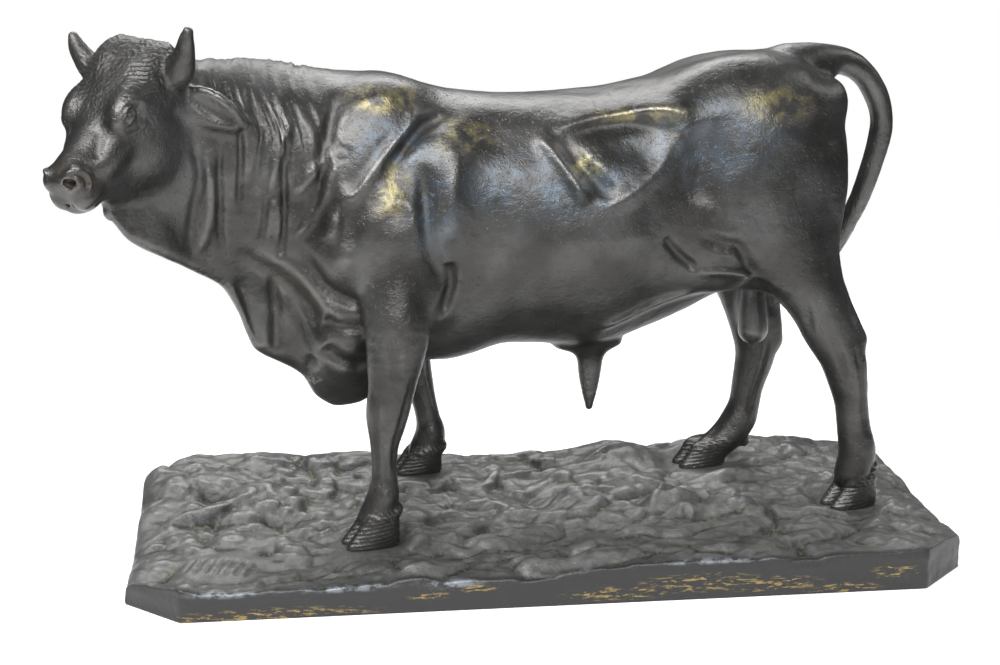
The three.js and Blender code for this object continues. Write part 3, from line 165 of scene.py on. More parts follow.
# %% [markdown]
# The trunk is a row of cross sections along the bull from nape to buttock, as ribs along a ship's keel.
# Each says how high the back is, how high the widest place, how low the belly, and how square it is.
# A curtain of skin hangs under the throat: its lower edge and its thickness are another row.

# %% Trunk and dewlap
TRUNK = named_rows("x ridge wide keel half crown sag middle", [
    [-156, 201, 186, 160, 13, 2.1, 2.0, -27],
    [-148, 206, 184, 148, 16, 2.1, 2.0, -22],
    [-134, 208.5, 180, 131, 20, 2.0, 2.0, -14],
    [-114, 208.3, 172, 113, 26, 1.9, 2.0, -6],
    [-92, 204.5, 160, 98, 32, 1.8, 2.1, -1],
    [-68, 202, 152, 86, 35, 1.8, 2.2, 0],
    [-42, 196.5, 148, 83, 38, 2.0, 2.2, 0],
    [-12, 193.8, 144, 89.5, 42, 2.2, 2.1, 0],
    [20, 195.5, 144, 87, 42, 2.3, 2.0, 0],
    [48, 200.5, 152, 94.5, 37, 2.5, 2.0, 0],
    [72, 206.5, 164, 105, 33, 2.5, 2.1, 0],
    [96, 210, 172, 118, 30, 2.3, 2.2, 0],
    [116, 208, 172, 130, 24, 2.1, 2.2, 0],
    [127, 201, 172, 138, 17, 2.0, 2.2, 0],
])
DEWLAP = named_rows("x edge thick top middle", [
    [-171, 151, 3, 174, -42],
    [-165, 142.5, 3.5, 172, -37],
    [-153, 135, 4.5, 166, -31],
    [-142, 128, 5, 160, -22],
    [-131, 120, 5.5, 150, -14],
    [-125, 108.5, 6, 146, -10],
    [-119, 93, 6, 142, -7],
    [-108, 86, 6.5, 136, -4],
    [-100, 81, 7.5, 128, -2],
    [-94, 71.5, 9, 122, 0],
    [-85, 67, 11, 118, 0],
    [-74, 69, 12, 112, 0],
    [-64, 77, 11, 106, 0],
])
trunk = sections(TRUNK)
dewlap = sections(DEWLAP)


def section_distance(table, x, y, z, middle, rounding):
    """Each section is a squarish oval, turned into a distance by dividing it by its own slope."""
    start, end = table["at"][0], table["at"][-1]
    at = np.clip(x, start, end)
    wide = read(table, "wide", at)
    above = z > wide
    half = read(table, "half", at)
    tall = np.where(above, read(table, "ridge", at) - wide, wide - read(table, "keel", at))
    power = np.where(above, read(table, "crown", at), read(table, "sag", at))
    dy = np.abs(y - middle) / half
    dz = np.abs(z - wide) / tall
    q = np.maximum((dy**power + dz**power) ** (1 / power), 0.02)
    slope = np.hypot((dy / q) ** (power - 1) / half, (dz / q) ** (power - 1) / tall)
    return meet((q - 1) / slope, np.maximum(start - x, x - end), rounding)


def trunk_distance(x, y, z):
    return section_distance(trunk, x, y, z, read(trunk, "middle", x), 10)


def dewlap_distance(x, y, z):
    at = np.clip(x, dewlap["at"][0], dewlap["at"][-1])
    edge = read(dewlap, "edge", at)
    thick = read(dewlap, "thick", at)
    top = np.maximum(read(dewlap, "top", at), edge + 2 * thick)
    core = np.clip(z, edge + thick, top - thick)
    sideways = y - read(dewlap, "middle", at)
    return np.sqrt(sideways**2 + ((z - core) * 0.8) ** 2 + (x - at) ** 2) - thick


print("trunk stations", len(TRUNK), "dewlap stations", len(DEWLAP))

# %% [markdown]
# Muscles and bones that show through the skin are rounded lumps: a centre, three half sizes, a lean, and
# how softly each runs into its neighbours. Those of the trunk lie alike on both sides.

# %% Muscles and bones
PAIRED = named_rows("name at size lean soft", [
    ["shoulder blade", [-72, 19, 163], [16, 16, 36], 14, 14],
    ["blade cap", [-65, 11, 188], [14, 9, 7], 0, 16],
    ["shoulder point", [-83, 25, 133], [11, 12, 15], 14, 10],
    ["triceps", [-64, 27, 141], [14, 13, 21], -14, 10],
    ["elbow", [-50, 31, 115], [6, 6.5, 10], -20, 9],
    ["chest", [-83, 13, 100], [14, 15, 22], 0, 12],
    ["neck cord", [-106, 15, 178], [26, 12, 14], -4, 14],
    ["rib bow", [-44, 22, 152], [12, 17, 28], 6, 16],
    ["hip bone", [51, 24, 186], [8, 8, 5], 0, 14],
    ["rump", [84, 18, 186], [30, 15, 20], 0, 14],
    ["thigh", [84, 22, 152], [26, 14.5, 40], -10, 14],
    ["stifle", [68, 26, 133], [13, 9, 16], -12, 12],
    ["buttock", [110.5, 15, 155], [18.5, 12, 42], -3, 12],
    ["pin bone", [120, 12, 191], [8, 6, 8], 0, 10],
    ["flank fold", [56, 25, 122], [16, 5, 6], 8, 10],
])
MIDDLE = [
    dict(name="tail head", at=[112, 0, 203], size=[18, 7, 8], lean=0, soft=6),
    dict(name="belly sheath", at=[23, 0, 87], size=[14, 5, 4], lean=0, soft=6),
]


def egg_distance(dx, dy, dz, size):
    rx, ry, rz = size
    a = np.sqrt((dx / rx) ** 2 + (dy / ry) ** 2 + (dz / rz) ** 2)
    b = np.sqrt((dx / rx**2) ** 2 + (dy / ry**2) ** 2 + (dz / rz**2) ** 2)
    return a * (a - 1) / np.maximum(b, 1e-9)


def egg(p, form):
    lean = math.radians(form["lean"])
    cx, dy, cz = (p - form["at"]).T
    dx = cx * math.cos(lean) - cz * math.sin(lean)
    dz = cx * math.sin(lean) + cz * math.cos(lean)
    return egg_distance(dx, dy, dz, form["size"])


def add_forms(d, p, forms):
    for form in forms:
        far = length(p - form["at"]) - max(form["size"])
        near = np.nonzero(far < d + form["soft"])[0]
        if len(near):
            d[near] = join(d[near], egg(p[near], form), form["soft"])
    return d


def both_sides(p):
    """Folds the far side onto the near one, for forms that lie alike on both."""
    folded = p.copy()
    folded[:, 1] = np.abs(folded[:, 1])
    return folded


print("muscles and bones", len(PAIRED) + len(MIDDLE))

# %% [markdown]
# Legs, tail and horns are chains of rings: each ring has a place, a radius and a flatness. A smooth curve
# runs through the rings, and the radius changes smoothly along it, so that no joint shows.

# %% Limbs
LIMBS = named_rows("name soft path", [
    ["near fore leg", 6, [[-64, -30, 124, 14, 1.1], [-63.5, -36, 103, 13, 1.15], [-66, -38, 82, 9.6, 1.1],
     [-68.2, -38, 69, 8.4, 1.05], [-69.3, -38, 57, 5.8, 1.05], [-69.6, -38, 45, 5.1, 1.05],
     [-70.2, -38, 35.5, 6.5, 1.0], [-73.4, -38, 28, 6.6, 1.0]]],
    ["far fore leg", 6, [[-58, 30, 124, 14, 1.1], [-54, 34, 103, 12.5, 1.15], [-51, 35, 84, 9.2, 1.1],
     [-49, 35.5, 74, 8, 1.05], [-45, 35.6, 60, 5.8, 1.05], [-42.4, 35.6, 48, 5.4, 1.05],
     [-41.3, 35.6, 40, 6.7, 1.0], [-44.3, 35.6, 33, 6.4, 1.0]]],
    ["near hind leg", 7, [[99, -21, 134, 19, 1.5], [113.5, -24, 110, 12.8, 1.3],
     [121.5, -25, 95, 11.6, 1.3], [127, -25.5, 84, 10, 1.2], [130, -25.6, 75, 8.9, 1.15],
     [132.5, -25.6, 63, 7.3, 1.15], [134.5, -25.6, 50, 7.2, 1.1], [136.3, -25.6, 40, 8, 1.05],
     [134, -25.6, 31, 7.2, 1.0]]],
    ["far hind leg", 7, [[90, 19, 134, 18, 1.5], [99.5, 23, 106, 12.8, 1.35], [105.5, 24, 86, 10.8, 1.3],
     [106.5, 24.5, 74, 9.2, 1.2], [103.5, 24.5, 60, 7.4, 1.15], [102, 24.5, 51, 7, 1.1],
     [99.5, 24.5, 43, 7.8, 1.05], [94, 24.5, 35.5, 7.4, 1.0], [88, 24.5, 31, 6.6, 1.0]]],
    ["near hamstring", 5, [[117, -17, 132, 8, 1.2], [124.8, -23, 108, 4.2, 1.1], [133.5, -25, 90, 4, 1.1]]],
    ["far hamstring", 5, [[112, 16, 130, 8, 1.2], [111.5, 22, 100, 4.2, 1.1], [114.5, 24, 80, 4, 1.1]]],
    ["tail", 4, [[108, 0, 205, 7.5, 1], [123, 1.5, 206.5, 6.4, 1], [135, 4, 205, 5.6, 1],
     [144.5, 7, 200, 5.3, 1], [152.5, 9.5, 190, 5.1, 1], [156, 11, 179, 5, 1], [155, 12.5, 167, 4.8, 1],
     [152, 14, 154, 4.5, 1], [148, 16, 141, 4.1, 1], [142, 18, 128, 4.1, 1], [134, 20.5, 116, 5.2, 1],
     [127, 22.5, 105, 4.6, 1], [123, 24, 96, 2, 1]]],
    ["sheath", 5, [[23.5, 0, 86, 6, 1.1], [23.5, 0, 73, 4.8, 1.1], [23.4, 0, 59, 1.7, 1]]],
    ["near testicle", 4, [[97, 5, 118, 4, 1], [98, 6, 100, 6, 1], [98.5, 6, 89, 6.6, 1]]],
    ["far testicle", 4, [[98, 15, 118, 4, 1], [100, 14, 100, 6, 1], [101, 14, 92, 6.2, 1]]],
])
CURVE_CUTS = 6


def smooth_path(path, cuts):
    """Points along a smooth curve through the path's own points."""
    path = np.array(path, float)
    last = len(path) - 1
    fine = []
    for i in range(last):
        p, q, r, s = path[max(i - 1, 0)], path[i], path[i + 1], path[min(i + 2, last)]
        for c in range(cuts):
            t = c / cuts
            fine.append(q + 0.5 * t * (r - p + t * (2 * p - 5 * q + 4 * r - s + t * (3 * (q - r) + s - p))))
    return np.array(fine + [path[last]])


def prepare_chain(chain):
    rings = smooth_path(chain["path"], CURVE_CUTS)
    chain["rings"] = rings
    low, high = rings[:, :3].min(0), rings[:, :3].max(0)
    chain["middle"] = (low + high) / 2
    chain["reach"] = length((high - low) / 2) + rings[:, 3].max()


def tube_distance(p, a, b):
    """Distance to one length of a chain, from ring a to ring b."""
    way = b[:3] - a[:3]
    t = np.clip(((p - a[:3]) @ way) / (way @ way), 0, 1)
    flat = mix(a[4], b[4], t)
    gap = p - a[:3] - t[:, None] * way
    gap[:, 1] *= flat
    return (length(gap) - mix(a[3], b[3], t)) / np.sqrt(flat)


def add_chain(d, p, chain):
    near = np.nonzero(length(p - chain["middle"]) - chain["reach"] < d + chain["soft"])[0]
    if len(near) == 0:
        return d
    q = p[near]
    nearest = np.full(len(near), 1e3)
    for a, b in zip(chain["rings"][:-1], chain["rings"][1:]):
        reach = length(b[:3] - a[:3]) / 2 + max(a[3], b[3])
        close = np.nonzero(length(q - (a[:3] + b[:3]) / 2) - reach < nearest)[0]
        nearest[close] = np.minimum(nearest[close], tube_distance(q[close], a, b))
    d[near] = join(d[near], nearest, chain["soft"])
    return d


for chain in LIMBS:
    prepare_chain(chain)
print("limbs", [chain["name"] for chain in LIMBS])

# %% [markdown]
# A hoof is two claws side by side, each a cone that spreads to the sole. The gap between them shows at the
# toe, because each hoof is turned a little to the bull's left. Behind each fetlock sit two small claws.

# %% Hooves
HOOVES = named_rows("name at length half height turn", [
    ["near fore", [-76.3, -38, 15], 11.8, 8.6, 14.5, 10],
    ["far fore", [-48, 35.6, 22.5], 11.3, 8.4, 12, 6],
    ["near hind", [132.6, -25.6, 16], 11.7, 8.6, 14, 12],
    ["far hind", [80.3, 24.5, 22.5], 12, 8.4, 12, 8],
])
DEWCLAWS = named_rows("name at size lean soft", [
    ["near fore", [-65.4, -38, 30], [2.8, 4.6, 2.6], 0, 1.6],
    ["far fore", [-37, 35.6, 34], [2.8, 4.4, 2.6], 0, 1.6],
    ["near hind", [142.4, -25.6, 34], [3.4, 4.8, 2.8], 0, 1.6],
    ["far hind", [101.5, 24.5, 33], [3, 4.6, 2.8], 0, 1.6],
])
TOE_SLANT = 0.4
SIDE_SLANT = 0.08
CLAW_MIDDLE = 0.46
CLAW_HALF = 0.56
CLAW_ROUNDING = 2
HOOF_REACH = 22
HOOF_ABOVE = 40
HOOF_MARGIN = 3
HOOF_FILLET = 2
SOLE_REACH = 30


def in_hoof(p, hoof):
    """Along, across and up in the hoof's own frame; the toe lies at negative along."""
    turn = math.radians(hoof["turn"])
    dx, dy, h = (p - hoof["at"]).T
    return dx * math.cos(turn) + dy * math.sin(turn), dy * math.cos(turn) - dx * math.sin(turn), h


def hoof_distance(p, hoof):
    along, across, h = in_hoof(p, hoof)
    long = np.maximum(hoof["length"] - TOE_SLANT * h, 1)
    wide = np.maximum(hoof["half"] * CLAW_HALF - SIDE_SLANT * h, 1)
    claw = np.hypot((along - TOE_SLANT * h) / long, (np.abs(across) - hoof["half"] * CLAW_MIDDLE) / wide)
    return meet((claw - 1) * wide, np.maximum(-h, h - hoof["height"]), CLAW_ROUNDING)


def add_hoof(d, p, hoof):
    away = np.hypot(p[:, 0] - hoof["at"][0], p[:, 1] - hoof["at"][1])
    low = p[:, 2] < hoof["at"][2] + HOOF_ABOVE
    near = np.nonzero((away - HOOF_REACH < d + HOOF_MARGIN) & low)[0]
    if len(near):
        d[near] = join(d[near], hoof_distance(p[near], hoof), HOOF_FILLET)
    below = np.nonzero(away < SOLE_REACH)[0]
    d[below] = np.maximum(d[below], hoof["at"][2] - p[below, 2])
    return d


print("hooves", len(HOOVES))

# %% [markdown]
# Lines are drawn into the skin as with a modelling tool: a ridge stands out, a groove lies in, and each
# fades towards both its ends. They are given as seen from the side, and lie on both flanks.

# %% Folds and edges of the flanks
FLANK_LINES = named_rows("name width height path", [
    ["loin edge", 3.4, 1.5, [[-6, 180], [8, 184], [27, 187], [45, 189], [58, 185]]],
    ["under the loin", 3.8, -1.6, [[2, 176], [20, 181], [36, 182], [50, 181]]],
    ["last rib", 3, 1.8, [[-8, 181], [-3.7, 176.3], [2.8, 167.7], [8.1, 159.1], [12, 152]]],
    ["behind the last rib", 3.8, -2, [[1.1, 178.4], [9, 168.5], [17, 159.5], [23.3, 153]]],
    ["flank cushion", 6, 1, [[10, 172], [20, 168], [38, 166]]],
    ["front of the thigh", 4.2, 2.2, [[58, 186], [48, 174], [39, 163], [29, 155], [16, 150]]],
    ["thigh swell", 10, 1.4, [[98, 186], [86, 169], [66, 148]]],
    ["hip dip", 8, -1.6, [[58, 184], [62, 168], [57, 150]]],
    ["before the shoulder", 3, -2.4, [[-82, 198], [-86, 189], [-88.8, 180], [-91, 170], [-93, 157],
     [-96, 146], [-101, 138]]],
    ["blade rim", 2.8, 0.6, [[-86, 174], [-84.5, 184], [-80, 189], [-73, 193], [-66, 195], [-59, 193]]],
    ["blade spine", 2.2, 1.8, [[-55, 194], [-56.4, 184.5], [-61, 179], [-69, 170.4], [-78, 158.9],
     [-82, 152]]],
    ["before the spine", 2.6, -0.7, [[-63, 182], [-69.5, 174], [-76, 166], [-83, 156]]],
    ["behind the blade", 3, -2.7, [[-36, 186], [-45, 184.4], [-51.7, 182], [-56.6, 178], [-61, 173],
     [-65.6, 167], [-70, 160]]],
    ["arm bulge", 3, 0.8, [[-77, 137], [-75, 145], [-66, 153.5], [-61.4, 154.6], [-57.4, 150.6],
     [-57, 142], [-60, 130]]],
    ["behind the arm", 3.4, -2, [[-52, 170], [-52, 152], [-51, 138], [-44, 118]]],
    ["shoulder front", 3, 1.5, [[-80, 162], [-86.5, 150], [-90, 138]]],
    ["rib swell", 5, 1.9, [[-39, 182], [-42, 160], [-43, 136]]],
    ["under the shoulder", 3, -2.4, [[-102, 138], [-96, 129], [-89, 120], [-82, 115], [-75, 114],
     [-67, 121]]],
    ["elbow fold", 2.4, -2.2, [[-43, 131], [-42, 120], [-48, 106]]],
    ["stifle crease", 2.6, -2, [[58, 138], [70, 134], [77, 132], [86, 119], [98, 113]]],
    ["flank crease", 1.7, -1.6, [[45, 138], [50.8, 130.9], [61.2, 122.3]]],
    ["rump valley", 5, -1.2, [[120, 176], [119, 153], [116, 132]]],
    ["groin", 3.4, 1.1, [[10, 95], [32, 103], [47, 109], [66, 114]]],
    ["chest fold", 2.8, -2.4, [[-126, 136], [-113, 127], [-103, 118], [-95, 107], [-92, 94]]],
    ["chest ridge", 3, 1.5, [[-118, 136], [-104, 127], [-93, 114], [-82, 102]]],
    ["under the arm", 2.8, -1.5, [[-92, 107], [-85, 104], [-72, 102]]],
    ["curtain fold", 2.4, -2, [[-112, 126], [-110, 108], [-111, 88]]],
    ["curtain edge fold", 2.2, -1.6, [[-125, 124], [-121, 108], [-117, 92]]],
    ["over the brisket", 3, -2, [[-92, 96], [-84, 89], [-70, 87]]],
    ["long neck fold", 1.8, 1.5, [[-85, 174], [-90, 159], [-96, 148], [-104, 138]]],
    ["curtain of the mane", 2.2, 1.3, [[-86, 178], [-89.6, 171.3], [-94.8, 165.9], [-99.6, 160.5],
     [-104, 153]]],
    ["bright neck fold", 2, 1.7, [[-102, 190], [-106, 178.5], [-108.6, 171], [-110.5, 163], [-111, 156]]],
    ["first neck groove", 1.4, -1.7, [[-104, 178], [-105.8, 167], [-106.2, 154.3], [-106.8, 140.5],
     [-109, 130]]],
    ["second neck groove", 1.4, -1.5, [[-121, 192], [-122.2, 180.4], [-122.5, 170.3], [-123.2, 161],
     [-124, 148]]],
    ["third neck groove", 1.4, -1.4, [[-129, 180], [-130.6, 169.7], [-130.7, 154.9], [-131.2, 142.3],
     [-129, 130]]],
    ["short neck groove", 1.3, -1.2, [[-114, 184], [-115.4, 174], [-117, 162]]],
    ["low neck groove", 1.3, -1.2, [[-113, 158], [-114, 148], [-116, 136]]],
    ["below the mane", 4, -1.1, [[-123, 165], [-114, 161], [-106, 157], [-97, 153]]],
    ["throat fold", 2, -1.6, [[-141, 182], [-138, 166], [-141, 152], [-144, 134]]],
    ["throat ridge", 2.2, 1.3, [[-136, 176], [-134, 160], [-136, 144], [-141, 132]]],
    ["groin ridge", 1.6, 1.4, [[19, 97], [32, 103], [47, 109], [62, 113]]],
    ["flank fold edge", 1.8, 1.4, [[58, 122], [70, 122], [82, 120], [93, 116], [108, 107]]],
    ["brisket fold", 2.2, -1.2, [[-95, 90], [-97, 81], [-93, 76]]],
])
FLANK_HOLLOWS = named_rows("name at size depth", [
    ["flank", [31, 172], [15, 10], 3.2],
    ["beside the tail", [118, 201], [7, 5], 2.6],
    ["loin", [20, 197], [24, 5], 0.8],
    ["hind ribs", [-22, 178], [16, 8], 1.2],
    ["pin", [108, 190], [9, 7], 1.2],
    ["arm", [-66, 138], [10, 13], -2.8],
    ["flank swell", [8, 138], [20, 14], -2],
    ["small flank swell", [33, 138], [8, 7], -1.2],
    ["point of the shoulder", [-83, 133], [5, 6], -1.6],
    ["front of the shoulder", [-87.5, 146], [3.6, 5], -1],
    ["low neck", [-113, 149], [7, 9], -1],
])
LINE_CUTS = 4
LINE_FADE = 0.25


def prepare_line(line):
    line["points"] = smooth_path(line["path"], LINE_CUTS)
    line["low"] = line["points"].min(0) - 3 * line["width"]
    line["high"] = line["points"].max(0) + 3 * line["width"]


def draw_lines(q, lines):
    """How high the drawn lines stand at points q."""
    height = np.zeros(len(q))
    for line in lines:
        near = np.nonzero(((q > line["low"]) & (q < line["high"])).all(1))[0]
        if len(near) == 0:
            continue
        r = q[near]
        best, place = np.full(len(r), 1e9), np.zeros(len(r))
        last = len(line["points"]) - 1
        for i in range(last):
            a, way = line["points"][i], line["points"][i + 1] - line["points"][i]
            t = np.clip(((r - a) @ way) / (way @ way), 0, 1)
            gap = ((r - a - t[:, None] * way) ** 2).sum(1)
            closer = gap < best
            best[closer] = gap[closer]
            place[closer] = (i + t[closer]) / last
        fade = ramp(0, LINE_FADE, place) * ramp(0, LINE_FADE, 1 - place)
        height[near] += line["height"] * fade * np.exp(-best / line["width"] ** 2)
    return height


def flank_relief(p):
    """What the lines and hollows add to the distance."""
    seen = p[:, [0, 2]]
    relief = -draw_lines(seen, FLANK_LINES)
    for hollow in FLANK_HOLLOWS:
        gap = length((seen - hollow["at"]) / hollow["size"])
        relief += hollow["depth"] * np.exp(-gap * gap)
    return relief * ramp(2, 10, np.abs(p[:, 1]))


for line in FLANK_LINES:
    prepare_line(line)
print("flank lines", len(FLANK_LINES), "hollows", len(FLANK_HOLLOWS))

# %% [markdown]
# The head is modelled straight, in its own frame, and then turned and tipped onto the neck: x runs to the
# muzzle, y to each side and z up from the brow. That way both its sides stay alike.

# %% Head
HEAD_PLACE = np.array([-155.6, -26.5, 203.3])
HEAD_SCALE = 0.945
HEAD_YAW = 49.7
HEAD_PITCH = 36.9
HEAD_ROLL = 2.5
HEAD = named_rows("x ridge wide keel half crown sag", [
    [-9, 11, -3, -18, 14, 2.4, 2.0],
    [0, 15.5, 1, -24, 17.4, 2.7, 2.0],
    [10, 15.8, 3, -29, 19, 3, 2.0],
    [20, 14, 3, -32, 19.2, 3, 1.9],
    [29, 12, 2, -33, 17.4, 2.9, 1.8],
    [37, 8.8, 0, -31, 14.2, 2.6, 1.8],
    [44, 6, -2, -25.5, 11.4, 2.5, 1.9],
    [51, 4.8, -4, -20.5, 10.2, 2.5, 2.1],
    [56, 5.2, -4.5, -17.4, 9.4, 2.8, 2.5],
    [60.6, 4.8, -5, -16, 8.9, 3.2, 3],
    [65.4, 3.4, -5.2, -14, 8.2, 3.2, 3.2],
])
HEAD_PAIRED = named_rows("name at size lean soft", [
    ["poll hair", [4, 9.8, 5], [11, 7.2, 9.2], 0, 5],
    ["brow", [29.5, 13.4, 8], [8, 4.2, 4], 14, 6],
    ["cheekbone", [40, 9.4, -2.6], [11, 4.4, 5], 14, 5],
    ["cheek", [25, 9.4, -15.5], [11.5, 6.6, 13], -16, 6],
    ["nostril wing", [61, 5.6, -0.6], [4.8, 3.6, 4.8], 0, 2.5],
    ["lip", [60, 5.4, -8.2], [6.6, 4.2, 4.2], 14, 3],
])
HEAD_MIDDLE = named_rows("name at size lean soft", [
    ["poll dome", [4, -7, 8.4], [12, 9, 10.8], 0, 5],
    ["nose bridge", [46, 0, 3.4], [11, 5.2, 3.4], 8, 5],
    ["far lip", [60, -7.6, -8], [5, 5.4, 4.6], 10, 3],
    ["chin", [59.6, -1, -12.8], [6.2, 7.4, 3], 10, 1.6],
])
EYE_HOLLOW = dict(at=[31, 18.6, 5.4], size=[4.8, 2.6, 3.2], lean=10)
EYEBALL = dict(name="eyeball", at=[31, 15.2, 5.2], size=[3.4, 2.5, 2.5], lean=10, soft=0.5)
NOSTRILS = [
    dict(name="near nostril", at=[64, 5.4, 0.6], size=[2.2, 2.6, 1.8], lean=20),
    dict(name="far nostril", at=[60.6, -8.4, 0.6], size=[2.2, 2, 1.8], lean=20),
]
HORNS = [
    dict(name="near horn", soft=2, path=[
      [4.5, 14, 2, 6.4, 1], [3, 20.5, 4.4, 6.3, 1], [1.8, 24.2, 8, 5.1, 1],
      [0.2, 27, 12, 3.8, 1], [-1.4, 29, 16, 2.7, 1], [-3, 30.5, 18.6, 1.6, 1]]),
    dict(name="far horn", soft=2, path=[
      [9, -13, 7, 6, 1], [8, -18.4, 10.4, 5.3, 1], [6.4, -21.4, 14.4, 4.3, 1],
      [4.8, -23.2, 18.6, 3.3, 1], [3, -24, 22.4, 2, 1]]),
]
EARS = [
    dict(name="near ear", at=[0, 24.6, -17.4], along=[-4, 13.8, -18.5], face=[0.75, 0.6, 0.3],
      size=[13.2, 6.4, 3.6]),
    dict(name="far ear", at=[0, -24.6, -16], along=[-4, -14, -17], face=[0.75, -0.6, 0.3],
      size=[13.2, 6.4, 3.6]),
]
EAR_CURL = 0.035
EAR_NARROWS = 0.018
EAR_BOWL = dict(part=[0.86, 0.68, 0.66], soft=1.4)
HEAD_LINES = named_rows("name width height path", [
    ["mouth", 1, -1.4, [[66, 0, -9.2], [64, 4, -10.2], [60.6, 7.2, -12.4], [56, 9, -15]]],
    ["face crease", 1.9, -1.2, [[37, 10, 7.4], [42, 9.2, 5.6], [47, 8.8, 3], [51.4, 9.2, 0.6]]],
    ["jaw edge", 3, -1.2, [[14, 17, -4], [13, 15, -16], [20, 12.5, -28]]],
    ["behind the mouth", 2.4, -1.3, [[56, 9.8, -14.6], [51, 10.2, -17.6], [46, 9.8, -23]]],
])
head = sections(HEAD)


def head_axes(yaw, pitch, roll):
    yaw, pitch, roll = math.radians(yaw), math.radians(pitch), math.radians(roll)
    flat, dip = math.cos(pitch), math.sin(pitch)
    forward = np.array([-math.cos(yaw) * flat, -math.sin(yaw) * flat, -dip])
    left = np.array([math.sin(yaw), -math.cos(yaw), 0.0])
    up = np.array([-math.cos(yaw) * dip, -math.sin(yaw) * dip, flat])
    return np.array([
        forward,
        left * math.cos(roll) + up * math.sin(roll),
        up * math.cos(roll) - left * math.sin(roll),
    ])


HEAD_AXES = head_axes(HEAD_YAW, HEAD_PITCH, HEAD_ROLL)


def to_head(p):
    return (p - HEAD_PLACE) / HEAD_SCALE @ HEAD_AXES.T


def unit(v):
    v = np.array(v, float)
    return v / length(v)


def ear_distance(p, ear):
    """A leaf whose front is hollowed."""
    along = unit(ear["along"])
    across = unit(np.cross(ear["face"], along))
    out = np.cross(along, across)
    a, b, c = ((p - ear["at"]) @ np.array([along, across, out]).T).T
    long, width, thick = ear["size"]
    bend = EAR_CURL * b * b
    leaf = egg_distance(a, b, c - bend, [long, width * (1 - EAR_NARROWS * np.clip(a, -30, 30)), thick])
    bowl = egg_distance(a, b, c - bend - thick, np.array(ear["size"]) * EAR_BOWL["part"])
    return carve(leaf, bowl, EAR_BOWL["soft"])


def head_distance(p):
    h = to_head(p)
    side = both_sides(h)
    d = section_distance(head, h[:, 0], h[:, 1], h[:, 2], 0, 5)
    d = add_forms(d, h, HEAD_MIDDLE)
    d = add_forms(d, side, HEAD_PAIRED)
    skin = np.nonzero(np.abs(d) < 6)[0]
    d[skin] -= draw_lines(side[skin], HEAD_LINES)
    nose = np.nonzero(h[:, 0] > 52)[0]
    for nostril in NOSTRILS:
        d[nose] = carve(d[nose], egg(h[nose], nostril), 1.4)
    eye = np.nonzero(np.abs(h[:, 0] - EYEBALL["at"][0]) < 12)[0]
    d[eye] = carve(d[eye], egg(side[eye], EYE_HOLLOW), 3)
    d[eye] = join(d[eye], egg(side[eye], EYEBALL), EYEBALL["soft"])
    for horn in HORNS:
        d = add_chain(d, h, horn)
    for ear in EARS:
        near = np.nonzero(length(h - ear["at"]) - 16 < d + 3)[0]
        if len(near):
            d[near] = join(d[near], ear_distance(h[near], ear), 3)
    return d * HEAD_SCALE


for chain in HORNS:
    prepare_chain(chain)
for line in HEAD_LINES:
    prepare_line(line)
print("head lines", len(HEAD_LINES))

# %% [markdown]
# The whole bull is these forms joined in order. The far parts are skipped where they can't matter.

# %% The whole bull
HEAD_BALL = np.array([-165, -30, 185])
HEAD_BALL_RADIUS = 60
HEAD_MARGIN = 8
HEAD_FILLET = 7
CHUNK = 60000


def bull_distance_of(p):
    x, y, z = p.T
    side = both_sides(p)
    d = trunk_distance(x, y, z)
    d = join(d, dewlap_distance(x, y, z), 9)
    d = add_forms(d, side, PAIRED)
    d = add_forms(d, p, MIDDLE)
    skin = np.nonzero((np.abs(d) < 8) & (z > 78))[0]
    d[skin] += flank_relief(p[skin])
    for chain in LIMBS:
        d = add_chain(d, p, chain)
    near = np.nonzero(length(p - HEAD_BALL) - HEAD_BALL_RADIUS < d + HEAD_MARGIN)[0]
    if len(near):
        d[near] = join(d[near], head_distance(p[near]), HEAD_FILLET)
    for hoof in HOOVES:
        d = add_hoof(d, p, hoof)
    return add_forms(d, p, DEWCLAWS)


def bull_distance(p):
    """The same in chunks, which keeps the arrays small."""
    return np.concatenate([bull_distance_of(p[i : i + CHUNK]) for i in range(0, len(p), CHUNK)])


print("inside the chest", round(float(bull_distance(np.array([[-60.0, 0.0, 150.0]]))[0]), 1), "mm")

# %% [markdown]
# To get a mesh, the distance is sampled on a grid. Most of the grid lies far from the skin, so it is asked
# about in coarse blocks first, and only the blocks that the skin may cross are filled in.

# %% Sample the distance on a grid
BULL_LOW = np.array([-206.0, -75.0, 8.0])
BULL_HIGH = np.array([168.0, 62.0, 234.0])
GRID_STEP = 0.95
BLOCK = 4
BLOCK_MARGIN = 1.5
BLOCK_SLACK = 2.5


def sample_grid(distance, low, high, step):
    blocks = np.ceil((high - low) / (step * BLOCK)).astype(int)
    centres = [low[n] + (np.arange(blocks[n]) * BLOCK + (BLOCK - 1) / 2) * step for n in range(3)]
    coarse_at = np.stack(np.meshgrid(*centres, indexing="ij"), -1).reshape(-1, 3)
    coarse = distance(coarse_at)
    value = np.repeat(coarse[:, None], BLOCK**3, 1)
    near = np.nonzero(np.abs(coarse) < math.sqrt(3) * BLOCK * step / 2 * BLOCK_MARGIN + BLOCK_SLACK)[0]
    inner = (np.arange(BLOCK) - (BLOCK - 1) / 2) * step
    offsets = np.stack(np.meshgrid(inner, inner, inner, indexing="ij"), -1).reshape(-1, 3)
    points = (coarse_at[near][:, None, :] + offsets[None]).reshape(-1, 3)
    value[near] = distance(points).reshape(len(near), -1)
    value = value.reshape(*blocks, BLOCK, BLOCK, BLOCK).transpose(0, 3, 1, 4, 2, 5)
    print("grid", blocks * BLOCK, "points asked", len(points))
    return value.reshape(*(blocks * BLOCK))


grid = sample_grid(bull_distance, BULL_LOW, BULL_HIGH, GRID_STEP)

